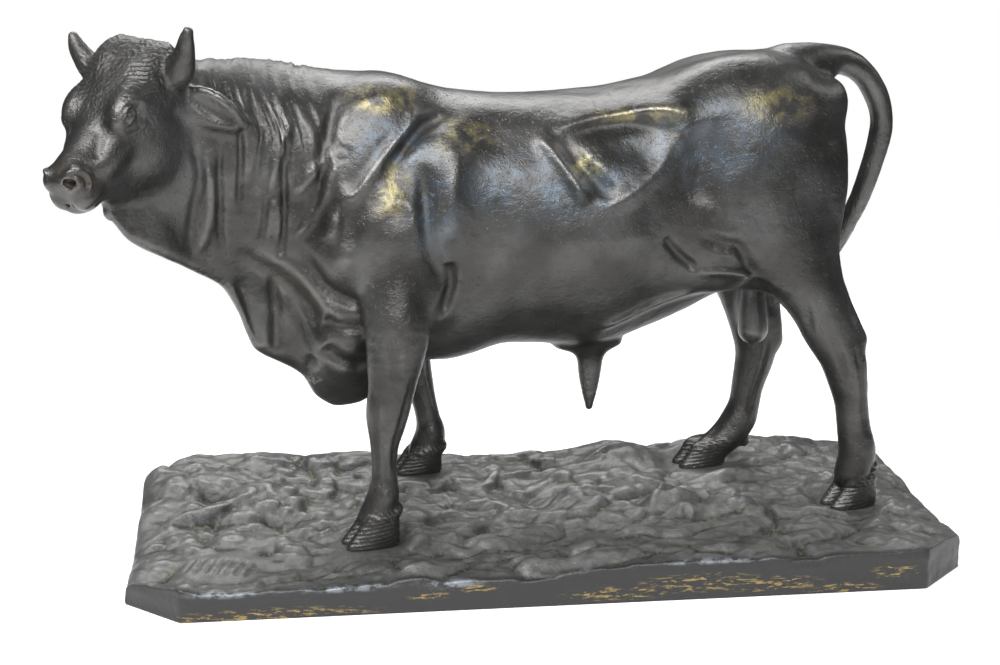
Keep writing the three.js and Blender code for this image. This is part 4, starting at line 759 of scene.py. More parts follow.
# %% [markdown]
# The skin is laid over the grid with surface nets: every cell that the skin crosses gets one corner, at the
# mean of where its edges are cut, and every cut edge gets a four-sided face between its four cells. That
# gives even faces that follow the forms, better to smooth and to carve than the triangles of a remesh.

# %% Lay a net over the grid


def surface_net(value, low, step):
    shape = np.array(value.shape)
    inside = value < 0
    cells, points = [], []
    for axis in range(3):
        first = [slice(None)] * 3
        second = [slice(None)] * 3
        first[axis], second[axis] = slice(None, -1), slice(1, None)
        cut = np.argwhere(inside[tuple(first)] != inside[tuple(second)])
        step_on = np.eye(3, dtype=int)[axis]
        a = value[tuple(cut.T)]
        b = value[tuple((cut + step_on).T)]
        place = cut + (a / (a - b))[:, None] * step_on
        u, v = np.eye(3, dtype=int)[(axis + 1) % 3], np.eye(3, dtype=int)[(axis + 2) % 3]
        ring = np.stack([cut - u - v, cut - v, cut, cut - u], 1)
        flip = a > b
        ring[flip] = ring[flip][:, ::-1]
        cells.append((ring @ [shape[1] * shape[2], shape[2], 1]).reshape(-1))
        points.append(np.repeat(place, 4, 0))
    cells, points = np.concatenate(cells), np.concatenate(points)
    number = np.unique(cells, return_inverse=True)[1]
    count = np.bincount(number)
    corners = np.stack([np.bincount(number, points[:, n]) / count for n in range(3)], 1)
    return corners * step + low, number.reshape(-1, 4)


def corner_normals(corners, quads):
    across = corners[quads[:, 2]] - corners[quads[:, 0]]
    other = corners[quads[:, 3]] - corners[quads[:, 1]]
    face = np.cross(across, other)
    shares = [np.bincount(quads.ravel(), np.repeat(face[:, n], 4), len(corners)) for n in range(3)]
    total = np.stack(shares, 1)
    return total / np.maximum(length(total), 1e-12)[:, None]


skin, quads = surface_net(grid, BULL_LOW, GRID_STEP)
del grid
print("net corners", len(skin), "faces", len(quads))

# %% [markdown]
# Corners of the net lie near the skin but not quite on it. Each is moved along its normal by its own
# distance, and then the whole net is relaxed a little, one step in and one step out so that nothing shrinks.

# %% Pull the net onto the skin and relax it
RELAX_ROUNDS = 3
RELAX_IN = 0.5
RELAX_OUT = 0.52
PULLS = (0.9, 0.8)
LONGEST_PULL = 1


def quad_sides(quads):
    """The four sides of every face, as pairs of corners."""
    return np.concatenate([quads[:, [0, 1]], quads[:, [1, 2]], quads[:, [2, 3]], quads[:, [3, 0]]])


def edges_of(quads):
    """Every edge once, packed into one number, and the stride that unpacks it."""
    pairs = quad_sides(quads)
    pairs.sort(1)
    return np.unique(pairs[:, 0] * (quads.max() + 1) + pairs[:, 1]), quads.max() + 1


def neighbour_mean(values, pairs, count):
    a, b = pairs
    size = len(values)
    total = np.stack([np.bincount(a, col[b], size) + np.bincount(b, col[a], size) for col in values.T], 1)
    return total / count[:, None]


packed, stride = edges_of(quads)
net_edges = (packed // stride, packed % stride)
net_ends = [np.bincount(ends, minlength=len(skin)) for ends in net_edges]
net_degree = np.maximum(net_ends[0] + net_ends[1], 1)
for pull in PULLS:
    move = np.clip(bull_distance(skin) * pull, -LONGEST_PULL, LONGEST_PULL)
    skin = skin - corner_normals(skin, quads) * move[:, None]
for _ in range(RELAX_ROUNDS):
    skin = skin + RELAX_IN * (neighbour_mean(skin, net_edges, net_degree) - skin)
    skin = skin - RELAX_OUT * (neighbour_mean(skin, net_edges, net_degree) - skin)
print("left off the skin", round(float(np.abs(bull_distance(skin[::50])).mean()), 3), "mm on average")

# %% [markdown]
# Hair, lids and hooves need finer faces than the flanks do. Chosen faces are split in four; the faces around
# them simply take the new corners into their outline, so that no gap opens between coarse and fine.

# %% Finer faces on the head and the hooves
HEAD_FINE = dict(low=[-16, -34, -40], high=[76, 44, 30])
HOOF_FINE_REACH = 17
HOOF_FINE_TOP = 24
FINE_PULL = 0.9
LONGEST_FINE_PULL = 0.3


def split_faces(corners, quads, chosen):
    stride = len(corners)
    sides = np.stack([quads, np.roll(quads, -1, 1)], 2)
    keys = sides.min(2) * stride + sides.max(2)
    halved, number = np.unique(keys[chosen], return_inverse=True)
    middle = number.reshape(-1, 4) + stride
    four = quads[chosen]
    centre = np.arange(len(four)) + stride + len(halved)
    halves = (corners[halved // stride] + corners[halved % stride]) / 2
    new_corners = np.concatenate([corners, halves, corners[four].mean(1)])
    small = [np.stack([four[:, n], middle[:, n], centre, middle[:, n - 1]], 1) for n in range(4)]
    touched = np.isin(keys, halved) & ~chosen[:, None]
    rim = touched.any(1)
    outlines = []
    for quad, key, hit in zip(quads[rim], keys[rim], touched[rim]):
        outline = []
        for n in range(4):
            outline.append(int(quad[n]))
            if hit[n]:
                outline.append(int(np.searchsorted(halved, key[n])) + stride)
        outlines.append(outline)
    return new_corners, np.concatenate([quads[~chosen & ~rim]] + small), outlines


def near_hoof(p):
    near = np.zeros(len(p), bool)
    for hoof in HOOVES:
        away = np.hypot(p[:, 0] - hoof["at"][0], p[:, 1] - hoof["at"][1])
        near |= (away < HOOF_FINE_REACH) & (p[:, 2] < hoof["at"][2] + HOOF_FINE_TOP)
    return near


middles = skin[quads].mean(1)
in_head = to_head(middles)
fine = ((in_head > HEAD_FINE["low"]) & (in_head < HEAD_FINE["high"])).all(1) | near_hoof(middles)
skin, quads, outlines = split_faces(skin, quads, fine)
move = np.clip(bull_distance(skin) * FINE_PULL, -LONGEST_FINE_PULL, LONGEST_FINE_PULL)
skin = skin - corner_normals(skin, quads) * move[:, None]
print("split faces", int(fine.sum()), "rim faces", len(outlines), "corners", len(skin))

# %% [markdown]
# Relief is added as small heights along the normal. Anything that looks random comes from one repeatable
# noise: a whole number is scrambled for each corner of a lattice and the corners are blended.

# %% Repeatable noise


def scatter(i, j, k, seed):
    """A number from 0 to 1 that looks random but is always the same for the same lattice corner."""
    h = (i * 374761393 + j * 668265263 + k * 1440670441 + seed * 2147483647) & 0xFFFFFFFF
    h = ((h ^ (h >> 13)) * 1274126177) & 0xFFFFFFFF
    return (h ^ (h >> 16)) / 4294967295


def noise(p, size, seed):
    """Rolling noise from -1 to 1; size is one lattice step, or three for longer and shorter ways."""
    q = p / np.array(size, float)
    cell = np.floor(q).astype(np.int64)
    u, v, w = ramp(0, 1, q - cell).T
    i, j, k = cell.T
    layers = []
    for dk in (0, 1):
        front = mix(scatter(i, j, k + dk, seed), scatter(i + 1, j, k + dk, seed), u)
        back = mix(scatter(i, j + 1, k + dk, seed), scatter(i + 1, j + 1, k + dk, seed), u)
        layers.append(mix(front, back, v))
    return mix(layers[0], layers[1], w) * 2 - 1


def ridged(value):
    """Turns rolling noise into crests with soft valleys between them."""
    return 1 - 2 * np.abs(value)


# %% [markdown]
# The poll and the forehead carry locks of curly hair. Each lock is a short bent ridge that lies on the skin
# and points away from the whorl between the horns. Their centres are picked from the skin itself, no two
# closer than a lock's width, so they cover it like scales.

# %% Locks on the poll and forehead
LOCK_LENGTH = 5.2
LOCK_WIDTH = 1.6
LOCK_HEIGHT = 0.4
LOCK_SPACING = 1.9
LOCK_WHORL = np.array([2.0, 0.0, 20.0])
LOCK_SEED = 11
LOCK_SCATTER = 3.2
LEAST_GROWN = 0.15


def hair_ground(h):
    """How much lock hair grows at a point of the head: 1 on the poll and forehead, 0 on the face."""
    top = ramp(-5, 2, h[:, 2] + 0.16 * h[:, 0]) * (1 - 0.55 * ramp(4, 22, h[:, 0]))
    return top * ramp(40, 30, h[:, 0]) * ramp(-16, -10, h[:, 0]) * ramp(24, 17, np.abs(h[:, 1]))


def hair_locks(h, normals):
    rng = np.random.default_rng(LOCK_SEED)
    grown = hair_ground(h)
    height = np.zeros(len(h))
    fresh = np.nonzero(grown > LEAST_GROWN)[0]
    candidates = rng.permutation(fresh)
    region = h[fresh]
    taken = np.empty((0, 3))
    for c in candidates:
        at = h[c]
        if len(taken) and (length(taken - at) < LOCK_SPACING).any():
            continue
        taken = np.vstack([taken, at])
        out = normals[c]
        flow = at - LOCK_WHORL + rng.normal(0, LOCK_SCATTER, 3)
        flow = unit(flow - out * (flow @ out))
        across = np.cross(out, flow)
        bend = rng.uniform(0.5, 1.3) * rng.choice([-1, 1])
        near = np.nonzero(length(region - at) < LOCK_LENGTH * 0.62)[0]
        offset = region[near] - at
        u = offset @ flow / LOCK_LENGTH
        v = offset @ across - bend * np.sin(2 * np.pi * u)
        body = np.clip(1 - (v / (LOCK_WIDTH * (0.5 - 0.35 * u))) ** 2, 0, 1) * np.clip(1 - (2 * u) ** 4, 0, 1)
        strands = 0.12 * np.cos(2 * np.pi * v / 0.9)
        lift = LOCK_HEIGHT * np.sqrt(body) * (1 + strands) * (0.75 + 0.35 * u)
        height[fresh[near]] = np.maximum(height[fresh[near]], lift)
    print("locks", len(taken))
    return height * grown


# %% [markdown]
# Down the neck the hair is short and straight, so it shows as fine lines that run from the crest towards the
# throat. Noise that is stretched along the hair gives them. The tuft of the tail is made the same way.

# %% Straight hair


def neck_hair(p, h):
    """Fine lines from the crest down the upper neck, and deeper folds below them."""
    neck = ramp(-80, -98, p[:, 0]) * ramp(4, -6, h[:, 0])
    leaned = p.copy()
    leaned[:, 0] += 0.16 * (p[:, 2] - 190) + 2.2 * noise(p, [30, 30, 18], 31)
    fine_lines = ridged(noise(leaned, [1.3, 16, 30], 32)) * 0.36
    broad_lines = ridged(noise(leaned, [3.6, 22, 34], 33)) * 0.4
    folds = ridged(noise(leaned, [6.5, 30, 60], 34)) * 0.4 * ramp(196, 176, p[:, 2]) * ramp(104, 132, p[:, 2])
    return neck * (ramp(112, 170, p[:, 2]) * (fine_lines + broad_lines) + folds)


def horn_strands(h):
    """Wavy strands before each horn."""
    side = both_sides(h)
    patch = np.exp(-(((side - [12, 14.5, 9]) / [8, 5.5, 7]) ** 2).sum(1))
    across = 0.75 * side[:, 0] + 0.4 * side[:, 1] - 0.5 * side[:, 2]
    along = 0.3 * side[:, 0] + 0.85 * side[:, 2]
    return 0.34 * patch * np.cos(2 * np.pi * (across + 1.0 * np.sin(along / 1.3)) / 1.9)


def tail_hair(p):
    """Strands on the lower half of the tail, fading out above."""
    tail = next(chain for chain in LIMBS if chain["name"] == "tail")["rings"]
    near = np.nonzero((p[:, 0] > 118) & (p[:, 2] > 90) & (p[:, 2] < 160) & (p[:, 1] > 2))[0]
    gap = np.min([length(p[near] - ring[:3]) - ring[3] for ring in tail], 0)
    strands = ridged(noise(p[near], [1.7, 1.7, 20], 35)) * 0.35
    height = np.zeros(len(p))
    height[near] = strands * ramp(3, 0.8, gap) * ramp(156, 136, p[near, 2])
    return height


# %% [markdown]
# Small lines finish the skin: lids, the rim of the nostril, the lips, the hollow between the bones of a leg
# and its sinew. They are drawn as the folds were, only narrower.

# %% Small lines
FACE_LINES = named_rows("name width height path", [
    ["upper lid", 0.7, 0.6, [[26.8, 17, 5.6], [28.8, 17.6, 7.8], [31.6, 17.2, 8.6], [35.2, 15.4, 6.4]]],
    ["lid fold", 0.6, -0.35, [[26, 17, 7.4], [28.8, 17.6, 9.6], [32.4, 16.8, 10.2], [36.4, 15, 7.8]]],
    ["lower lid", 0.65, 0.45, [[27, 17, 4.8], [29.4, 17.6, 3], [32.6, 17, 2.9], [35.6, 15.4, 5]]],
    ["under the eye", 0.8, -0.35, [[26, 17.4, 2.8], [29.6, 17.8, 0.8], [33.6, 16.6, 0.8], [37.6, 14, 3.4]]],
    ["tear bag", 1.1, 0.4, [[27, 17.6, 0], [31, 17.6, -1.6], [36, 15.6, -0.6]]],
    ["nostril rim", 1.0, 1.2, [[65, 3.6, 3.6], [62.6, 6, 4.2], [60, 8, 2.6], [58.6, 9, -0.6],
     [59.6, 9.2, -3.8], [62, 8.4, -5.2], [64.4, 6.8, -4.6]]],
    ["nostril groove", 0.8, -1.1, [[63.4, 5.6, 3], [61.4, 7.6, 2], [60.2, 8.6, -0.2], [60.8, 8.8, -2.6],
     [63, 7.8, -3.6]]],
    ["nose wrinkle", 0.8, -0.3, [[56.6, 8, 5], [55, 9.6, 0.6], [56, 9.8, -5], [58, 9.2, -8]]],
    ["lip line", 0.8, 0.4, [[66, 0, -8], [63.6, 4.2, -8.8], [60, 7.6, -10.8], [55, 9.4, -13.2]]],
])
LEG_LINES = named_rows("name width height path", [
    ["near fore sinew", 1.1, -0.7, [[-58, 88], [-62.5, 70], [-66, 56], [-66, 44]]],
    ["near fore shin", 1.1, -0.4, [[-73, 84], [-73.5, 66], [-73, 50], [-73.5, 42]]],
    ["near fore muscle", 1.6, -0.7, [[-71, 112], [-66, 98], [-66, 84]]],
    ["far fore sinew", 1.1, -0.7, [[-43, 84], [-43, 70], [-40, 56], [-38.6, 48]]],
    ["near hind sinew", 1.2, -0.8, [[129, 92], [133.5, 76], [135.5, 62], [138, 48]]],
    ["near hock", 1.4, -0.6, [[118, 96], [124, 84], [127, 74]]],
    ["near hamstring hollow", 1.8, -1.0, [[121, 122], [127, 108], [131, 96]]],
    ["far hind sinew", 1.2, -0.8, [[110, 84], [108, 70], [104, 56], [101, 46]]],
    ["far hamstring hollow", 1.6, -0.9, [[106, 118], [109, 104], [111.5, 92]]],
])
for line in FACE_LINES + LEG_LINES:
    prepare_line(line)


def small_lines(p, h):
    height = draw_lines(both_sides(h), FACE_LINES) + horn_strands(h)
    return height + draw_lines(p[:, [0, 2]], LEG_LINES) * ramp(112, 100, p[:, 2])


# %% [markdown]
# The horn of each claw grew in fine rings, and a fringe of hair hangs over the coronet.

# %% Hooves: rings and fringe
RING_PITCH = 1.5
RING_HEIGHT = 0.1


def hoof_relief(p):
    height = np.zeros(len(p))
    for hoof in HOOVES:
        along, across, h = in_hoof(p, hoof)
        on = ramp(HOOF_FINE_REACH, HOOF_FINE_REACH - 4, np.hypot(along - TOE_SLANT * h, across * 1.3))
        over = h - 0.22 * along - hoof["height"]
        rings = RING_HEIGHT * np.sin(2 * np.pi * (h - 0.12 * along + 0.5 * noise(p, 9, 41)) / RING_PITCH)
        curls = 0.18 * np.cos(2 * np.pi * (across + 0.6 * along + 0.35 * h + 0.5 * noise(p, 6, 42)) / 1.7)
        fringe = np.exp(-(((over + 2) / 2.2) ** 2)) * (0.2 + curls)
        height += on * (rings * ramp(0, -3, over) + fringe)
    return height


# %% [markdown]
# No casting is perfectly smooth. Broad unevenness makes the highlights swim as they do on hand-finished
# wax, and a fine grain of pits breaks them up. Between the shoulder and the neck is the round mark of a
# plug that closed a hole in the casting.

# %% The casting's own surface
PLUG_AT = [-84, 173]
PLUG_RADIUS = 2.6


def casting(p):
    broad = 0.16 * noise(p, 9, 51) + 0.10 * noise(p, 4.6, 52)
    grain = 0.035 * noise(p, 1.9, 53)
    near_side = ramp(-5, -12, p[:, 1])
    from_plug = length(p[:, [0, 2]] - np.array(PLUG_AT)) - PLUG_RADIUS
    plug = -0.3 * np.exp(-((from_plug / 0.7) ** 2)) * near_side
    return broad + grain + plug


# %% Add the relief to the skin
FOOT_REACH = 20
FOOT_TOP = 0.6
normals = corner_normals(skin, quads)
in_head = to_head(skin)
relief = casting(skin) + small_lines(skin, in_head) + hoof_relief(skin)
relief += neck_hair(skin, in_head) + tail_hair(skin)
relief += hair_locks(in_head, normals @ HEAD_AXES.T)
for hoof in HOOVES:
    under = skin[:, 2] < hoof["at"][2] + FOOT_TOP
    foot = (length(skin[:, :2] - hoof["at"][:2]) < FOOT_REACH) & under
    relief[foot] = 0
skin = skin + normals * relief[:, None]
print("relief from", round(float(relief.min()), 2), "to", round(float(relief.max()), 2), "mm")

# %% [markdown]
# How a place is bent decides how it ages: dust and wax gather where the skin is hollow, and hands rub it
# bright where it stands out. Comparing the skin with a much relaxed copy of itself tells the two apart, and
# the result is kept on the corners for the material to read.

# %% Hollows and crests
BEND_ROUNDS = 14
BEND_FULL = 0.8


def bend_of(corners, quads):
    """0 on crests, 0.5 where the skin is flat and 1 in hollows, whatever the size of the faces."""
    pairs = quad_sides(quads)
    degree = np.maximum(np.bincount(pairs.ravel(), minlength=len(corners)), 1)
    calm = corners
    for _ in range(BEND_ROUNDS):
        calm = neighbour_mean(calm, (pairs[:, 0], pairs[:, 1]), degree)
    gap = length(corners[pairs[:, 0]] - corners[pairs[:, 1]])
    around = np.bincount(pairs[:, 0], gap, len(corners)) + np.bincount(pairs[:, 1], gap, len(corners))
    spacing = np.maximum(around / degree, 1e-6)
    lift = ((calm - corners) * corner_normals(corners, quads)).sum(1) * np.median(spacing) / spacing
    return np.clip(0.5 + 0.5 * lift / BEND_FULL, 0, 1)


bend = bend_of(skin, quads)
print("hollow share", round(float((bend > 0.7).mean()), 3))
print("crest share", round(float((bend < 0.3).mean()), 3))

# %% [markdown]
# The bull stands a few degrees askew on its base. Its faces are thinned, mostly where the form is calm,
# which keeps the mesh light.

# %% The bull's mesh
BULL_TURN = math.radians(3)
BULL_SHIFT_Y = 12.0
MOST_TRIANGLES = 196000


def to_base(p):
    """From the bull's own frame to the frame of the whole."""
    x, y, z = p.T
    turn, tip = math.cos(BULL_TURN), math.sin(BULL_TURN)
    return np.stack([x * turn - y * tip, x * tip + y * turn + BULL_SHIFT_Y, z], 1)


def mesh_object(name, corners, faces, marks):
    mesh = bpy.data.meshes.new(name)
    mesh.from_pydata((corners * MM).tolist(), [], faces)
    for mark, values in marks.items():
        layer = mesh.attributes.new(mark, "FLOAT", "POINT")
        layer.data.foreach_set("value", np.asarray(values, np.float32))
    mesh.polygons.foreach_set("use_smooth", [True] * len(mesh.polygons))
    mesh.update()
    piece = bpy.data.objects.new(name, mesh)
    bpy.context.scene.collection.objects.link(piece)
    return piece


def triangles_in(piece):
    return sum(len(face.vertices) - 2 for face in piece.data.polygons)


def thin_out(piece, most):
    before = triangles_in(piece)
    if before > most:
        thinner = piece.modifiers.new("thin", "DECIMATE")
        thinner.ratio = most / before
        bpy.context.view_layer.update()
        ready = piece.evaluated_get(bpy.context.evaluated_depsgraph_get())
        mesh = bpy.data.meshes.new_from_object(ready)
        piece.modifiers.clear()
        piece.data = mesh
    print(piece.name, "had", before, "triangles, has", triangles_in(piece))
    return piece


bull = mesh_object("bronze_bull", to_base(skin), quads.tolist() + outlines, {"bend": bend})
thin_out(bull, MOST_TRIANGLES)
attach(bull, "root")
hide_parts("bull")

# %% [markdown]
# The base is an oblong with cut corners and rough ground on top. A height at every place of the ground is
# all it needs, so it is a net of even squares with a wall hung from its edge.

# %% Base: the ground's main heights
BASE_LENGTH = 340
BASE_WIDTH = 134
BASE_CORNERS = dict(frontLeft=22.4, frontRight=22.9, backRight=13.3, backLeft=19.2)
FRONT_EDGE = [[-170, 9], [-147, 12.5], [-138, 10.7], [-91, 10.7], [-72, 12.2], [-58, 14.2],
              [-42, 11.6], [-25, 10.8], [0, 13], [16, 15.3], [72, 15.3], [115, 15.4], [145, 17], [170, 15]]
BACK_EDGE = [[-170, 25], [-148, 28.5], [-108, 28], [-56, 25.5], [-6, 24], [20, 25],
             [42, 28], [66, 24.5], [82, 28], [108, 28.5], [148, 25.5], [170, 22]]
GROUND_CURVE = 1.7
ROUGH_LEFT = 1.9
ROUGH_RIGHT = 0.9
LUMPS = [dict(size=27, share=1, seed=1), dict(size=14, share=0.6, seed=2)]
LUMP_STRETCH = 1.3
EDGE_CALM = 12
SEAT_FADE = 9
MOUNDS = named_rows("name at size height", [
    ["root knot", [58, -8], [12, 11], 6.5],
    ["root end", [82, -19], [13, 5], 3],
    ["stone", [17, 10], [8, 7], 3],
    ["far stone", [44, 48], [14, 9], 3.5],
    ["back rise", [84, 56], [12, 8], 1.5],
    ["left drift", [-120, 20], [24, 16], 2.5],
    ["front drift", [-20, -34], [22, 10], 2.5],
    ["left corner", [-150, -40], [16, 14], -2],
])
SOLES = [dict(at=to_base(np.array([hoof["at"]]))[0], reach=hoof["length"]) for hoof in HOOVES]


def base_front(x):
    left = BASE_CORNERS["frontLeft"] - (x + BASE_LENGTH / 2)
    right = BASE_CORNERS["frontRight"] - (BASE_LENGTH / 2 - x)
    return -BASE_WIDTH / 2 + np.maximum(0, np.maximum(left, right))


def base_back(x):
    left = BASE_CORNERS["backLeft"] - (x + BASE_LENGTH / 2)
    right = BASE_CORNERS["backRight"] - (BASE_LENGTH / 2 - x)
    return BASE_WIDTH / 2 - np.maximum(0, np.maximum(left, right))


def lumps(x, y, size, seed):
    """Rolling lumps about size across, between -1 and 1."""
    return noise(np.stack([x, y, np.zeros_like(x)], 1), size, seed)


def ground_swell(x, y):
    """The broad heights of the ground, the same as the solid's."""
    across = np.clip((y - base_front(x)) / (base_back(x) - base_front(x)), 0, 1)
    front = follow([p[0] for p in FRONT_EDGE], [p[1] for p in FRONT_EDGE], x)
    back = follow([p[0] for p in BACK_EDGE], [p[1] for p in BACK_EDGE], x)
    height = mix(front, back, across**GROUND_CURVE)
    inner = ramp(0, EDGE_CALM, np.minimum(across, 1 - across) * BASE_WIDTH)
    rough = mix(ROUGH_LEFT, ROUGH_RIGHT, ramp(20, 110, x))
    for lump in LUMPS:
        height += rough * inner * lump["share"] * lumps(x, y * LUMP_STRETCH, lump["size"], lump["seed"])
    for mound in MOUNDS:
        gap = np.hypot((x - mound["at"][0]) / mound["size"][0], (y - mound["at"][1]) / mound["size"][1])
        height += mound["height"] * np.exp(-gap * gap)
    return height


# %% [markdown]
# On top of the swell lie the dabs of clay that the modeller pressed on: each is a flat pellet, longer than
# it is wide, and they overlap. A gnarled root crosses the ground, and a row of small strokes is cut into the
# front corner.

# %% Base: dabs of clay, the root and the strokes
DABS = [
    dict(spacing=[26, 14], long=[15, 31], wide=[7, 13], tall=[1.6, 4.4], seed=61),
    dict(spacing=[13, 8], long=[5, 12], wide=[2.4, 5.6], tall=[-0.8, 2.4], seed=62),
]
ROOT = dict(
    path=[[44, -27], [47, -10], [54, 1], [63, 5.5], [70, -1], [73, -11], [80, -17], [90, -21]],
    width=2.4, height=3.0,
)
ROOT_KNOT = dict(at=[59.5, -20], radius=2.8, rim=0.9)
ROOT_END = dict(at=[88, -22], size=[5.4, 4.2])
STROKES_START = np.array([-145.5, -39.5])
STROKES_END = np.array([-121.0, -43.5])
STROKES_COUNT = 7
STROKE_TALL = 11.0
STROKE_WIDTH = 0.75
STROKE_DEPTH = 0.8
STROKES_CALM = [17, 12]
BIG_DABS_SHARE = 1.15
DABS_SINK = 2.0
prepare_line(ROOT)


def one_layer(places, layer):
    rng = np.random.default_rng(layer["seed"])
    height = np.zeros(len(places))
    step_x, step_y = layer["spacing"]
    for column in np.arange(-BASE_LENGTH / 2, BASE_LENGTH / 2, step_x):
        for row in np.arange(-BASE_WIDTH / 2, BASE_WIDTH / 2, step_y):
            at = np.array([column, row]) + rng.uniform(0, 1, 2) * [step_x, step_y]
            long, wide, tall = [rng.uniform(*layer[key]) for key in ("long", "wide", "tall")]
            turn = math.radians(rng.normal(7, 24))
            near = np.nonzero(np.abs(places - at).max(1) < long)[0]
            dx, dy = (places[near] - at).T
            u = (dx * math.cos(turn) + dy * math.sin(turn)) / long
            v = (dy * math.cos(turn) - dx * math.sin(turn)) / wide
            pellet = tall * np.sqrt(np.clip(1 - u * u - v * v, 0, 1)) * (1 - 0.35 * v)
            height[near] = np.maximum(height[near], pellet * mix(1.0, 0.55, ramp(50, 130, column)))
    return height


def dabs(x, y):
    """Overlapping pellets, taller towards the head end."""
    places = np.stack([x + 3.0 * lumps(x, y, 11, 63), y + 2.4 * lumps(x, y, 9, 64)], 1)
    height = BIG_DABS_SHARE * one_layer(places, DABS[0]) + one_layer(places, DABS[1])
    return height - DABS_SINK + 0.5 * lumps(x, y * 1.3, 3.6, 65) + 0.16 * lumps(x, y, 1.7, 66)


def root_relief(x, y):
    spots = np.stack([x, y], 1)
    height = draw_lines(spots, [ROOT])
    from_knot = length(spots - ROOT_KNOT["at"])
    height += ROOT_KNOT["rim"] * np.exp(-(((from_knot - ROOT_KNOT["radius"]) / 1.3) ** 2))
    height -= 0.6 * np.exp(-((from_knot / 1.8) ** 2))
    from_end = length((spots - ROOT_END["at"]) / ROOT_END["size"])
    return height + 1.6 * ramp(1.25, 0.85, from_end) - 0.7 * ramp(0.7, 0.4, from_end)


def strokes(x, y):
    """A row of slanting strokes of uneven length."""
    depth = np.zeros_like(x)
    for n in range(STROKES_COUNT):
        middle = mix(STROKES_START, STROKES_END, n / (STROKES_COUNT - 1))
        tall = STROKE_TALL * (0.72 + 0.28 * scatter(n, 3, 0, 7))
        slant = 2.2 + 1.6 * scatter(n, 5, 0, 7)
        low, high = middle - [slant / 2, tall / 2], middle + [slant / 2, tall / 2]
        way = high - low
        spots = np.stack([x, y], 1) - low
        t = np.clip(spots @ way / (way @ way), 0, 1)
        gap = length(spots - t[:, None] * way)
        depth = np.maximum(depth, STROKE_DEPTH * np.exp(-((gap / STROKE_WIDTH) ** 2)))
    return depth


# %% [markdown]
# The ground is level under each hoof and pressed up a little around it, so that the hoof stands in the
# ground and not on it. At the edge the ground rolls over into the wall.

# %% Base: the whole ground
SEAT_RISE = 0.5
FRONT_ROUND = 1.3
SIDE_ROUND = 5.0
WALL_LEVELS = 14
WALL_LIP = 2.6
BASE_STEP = 0.9
EDGE_ROWS = np.array([0, 0.25, 0.6, 1.0, 1.5, 2.1])
EDGE_BAND = 3.0


def rounding_off(from_edge, radius):
    rolled = np.clip(1 - from_edge / radius, 0, 1)
    return 0.7 * radius * (1 - np.sqrt(1 - rolled**2))


def ground(x, y):
    from_edge = np.minimum(y - base_front(x), base_back(x) - y)
    from_edge = np.minimum(from_edge, BASE_LENGTH / 2 - np.abs(x))
    row = (STROKES_START + STROKES_END) / 2
    from_row = np.hypot((x - row[0]) / STROKES_CALM[0], (y - row[1]) / STROKES_CALM[1])
    calm = mix(0.35, 1.0, ramp(0, 8, from_edge)) * mix(0.2, 1.0, ramp(0.9, 1.5, from_row))
    height = ground_swell(x, y) + calm * dabs(x, y) + root_relief(x, y) - strokes(x, y)
    for sole in SOLES:
        gap = np.hypot(x - sole["at"][0], y - sole["at"][1])
        seat = sole["at"][2] + SEAT_RISE * ramp(sole["reach"] + 3, sole["reach"] - 2, gap)
        height = mix(seat, height, ramp(sole["reach"], sole["reach"] + SEAT_FADE, gap))
    front_roll = rounding_off(y - base_front(x), FRONT_ROUND)
    side_roll = rounding_off(np.minimum(base_back(x) - y, BASE_LENGTH / 2 - np.abs(x)), SIDE_ROUND)
    return height - front_roll - side_roll


def base_rows():
    """Places from front to back as parts of the width, closer together at both edges."""
    near_edge, band = EDGE_ROWS / BASE_WIDTH, EDGE_BAND / BASE_WIDTH
    inner = np.linspace(band, 1 - band, round(BASE_WIDTH / BASE_STEP))
    return np.concatenate([near_edge, inner, 1 - near_edge[::-1]])


def base_columns():
    """The same from left to right, in millimetres."""
    inner = np.linspace(EDGE_BAND, BASE_LENGTH - EDGE_BAND, round(BASE_LENGTH / BASE_STEP))
    return np.concatenate([EDGE_ROWS, inner, BASE_LENGTH - EDGE_ROWS[::-1]]) - BASE_LENGTH / 2


def base_mesh():
    rows, columns = base_rows(), base_columns()
    x, t = [v.ravel() for v in np.meshgrid(columns, rows, indexing="ij")]
    y = mix(base_front(x), base_back(x), t)
    top = np.stack([x, y, ground(x, y)], 1)
    many, wide = len(columns), len(rows)
    number = np.arange(many * wide).reshape(many, wide)
    squares = np.stack([number[:-1, :-1], number[1:, :-1], number[1:, 1:], number[:-1, 1:]], -1)
    faces = [squares.reshape(-1, 4)]
    rim = np.concatenate([number[:, 0], number[-1, 1:], number[-2::-1, -1], number[0, -2:0:-1]])
    ahead = top[np.roll(rim, -1), :2] - top[np.roll(rim, 1), :2]
    outward = np.stack([ahead[:, 1], -ahead[:, 0]], 1) / np.maximum(length(ahead), 1e-9)[:, None]
    corners, above = [top], rim
    for level in range(1, WALL_LEVELS + 1):
        part = level / WALL_LEVELS
        edge = top[rim]
        z = edge[:, 2] * (1 - part)
        on_wall = np.stack([edge[:, 0] + edge[:, 1], z, 0 * z], 1)
        bulge = 0.22 * noise(on_wall, [9, 4, 1], 71)
        bulge += 0.10 * noise(on_wall, [3, 2, 1], 72)
        lip = 0.5 * np.exp(-(((edge[:, 2] - z - WALL_LIP) / 1.6) ** 2)) * ramp(-0.2, 0.5, noise(edge, 14, 73))
        foot = ramp(0, 0.12, part) * ramp(1, 0.9, part)
        spot = edge[:, :2] + outward * ((bulge + lip) * foot)[:, None]
        below = np.arange(len(rim)) + sum(len(c) for c in corners)
        corners.append(np.column_stack([spot, z]))
        faces.append(np.stack([above, below, np.roll(below, -1), np.roll(above, -1)], 1))
        above = below
    corners = np.concatenate(corners)
    return corners, np.concatenate(faces), above


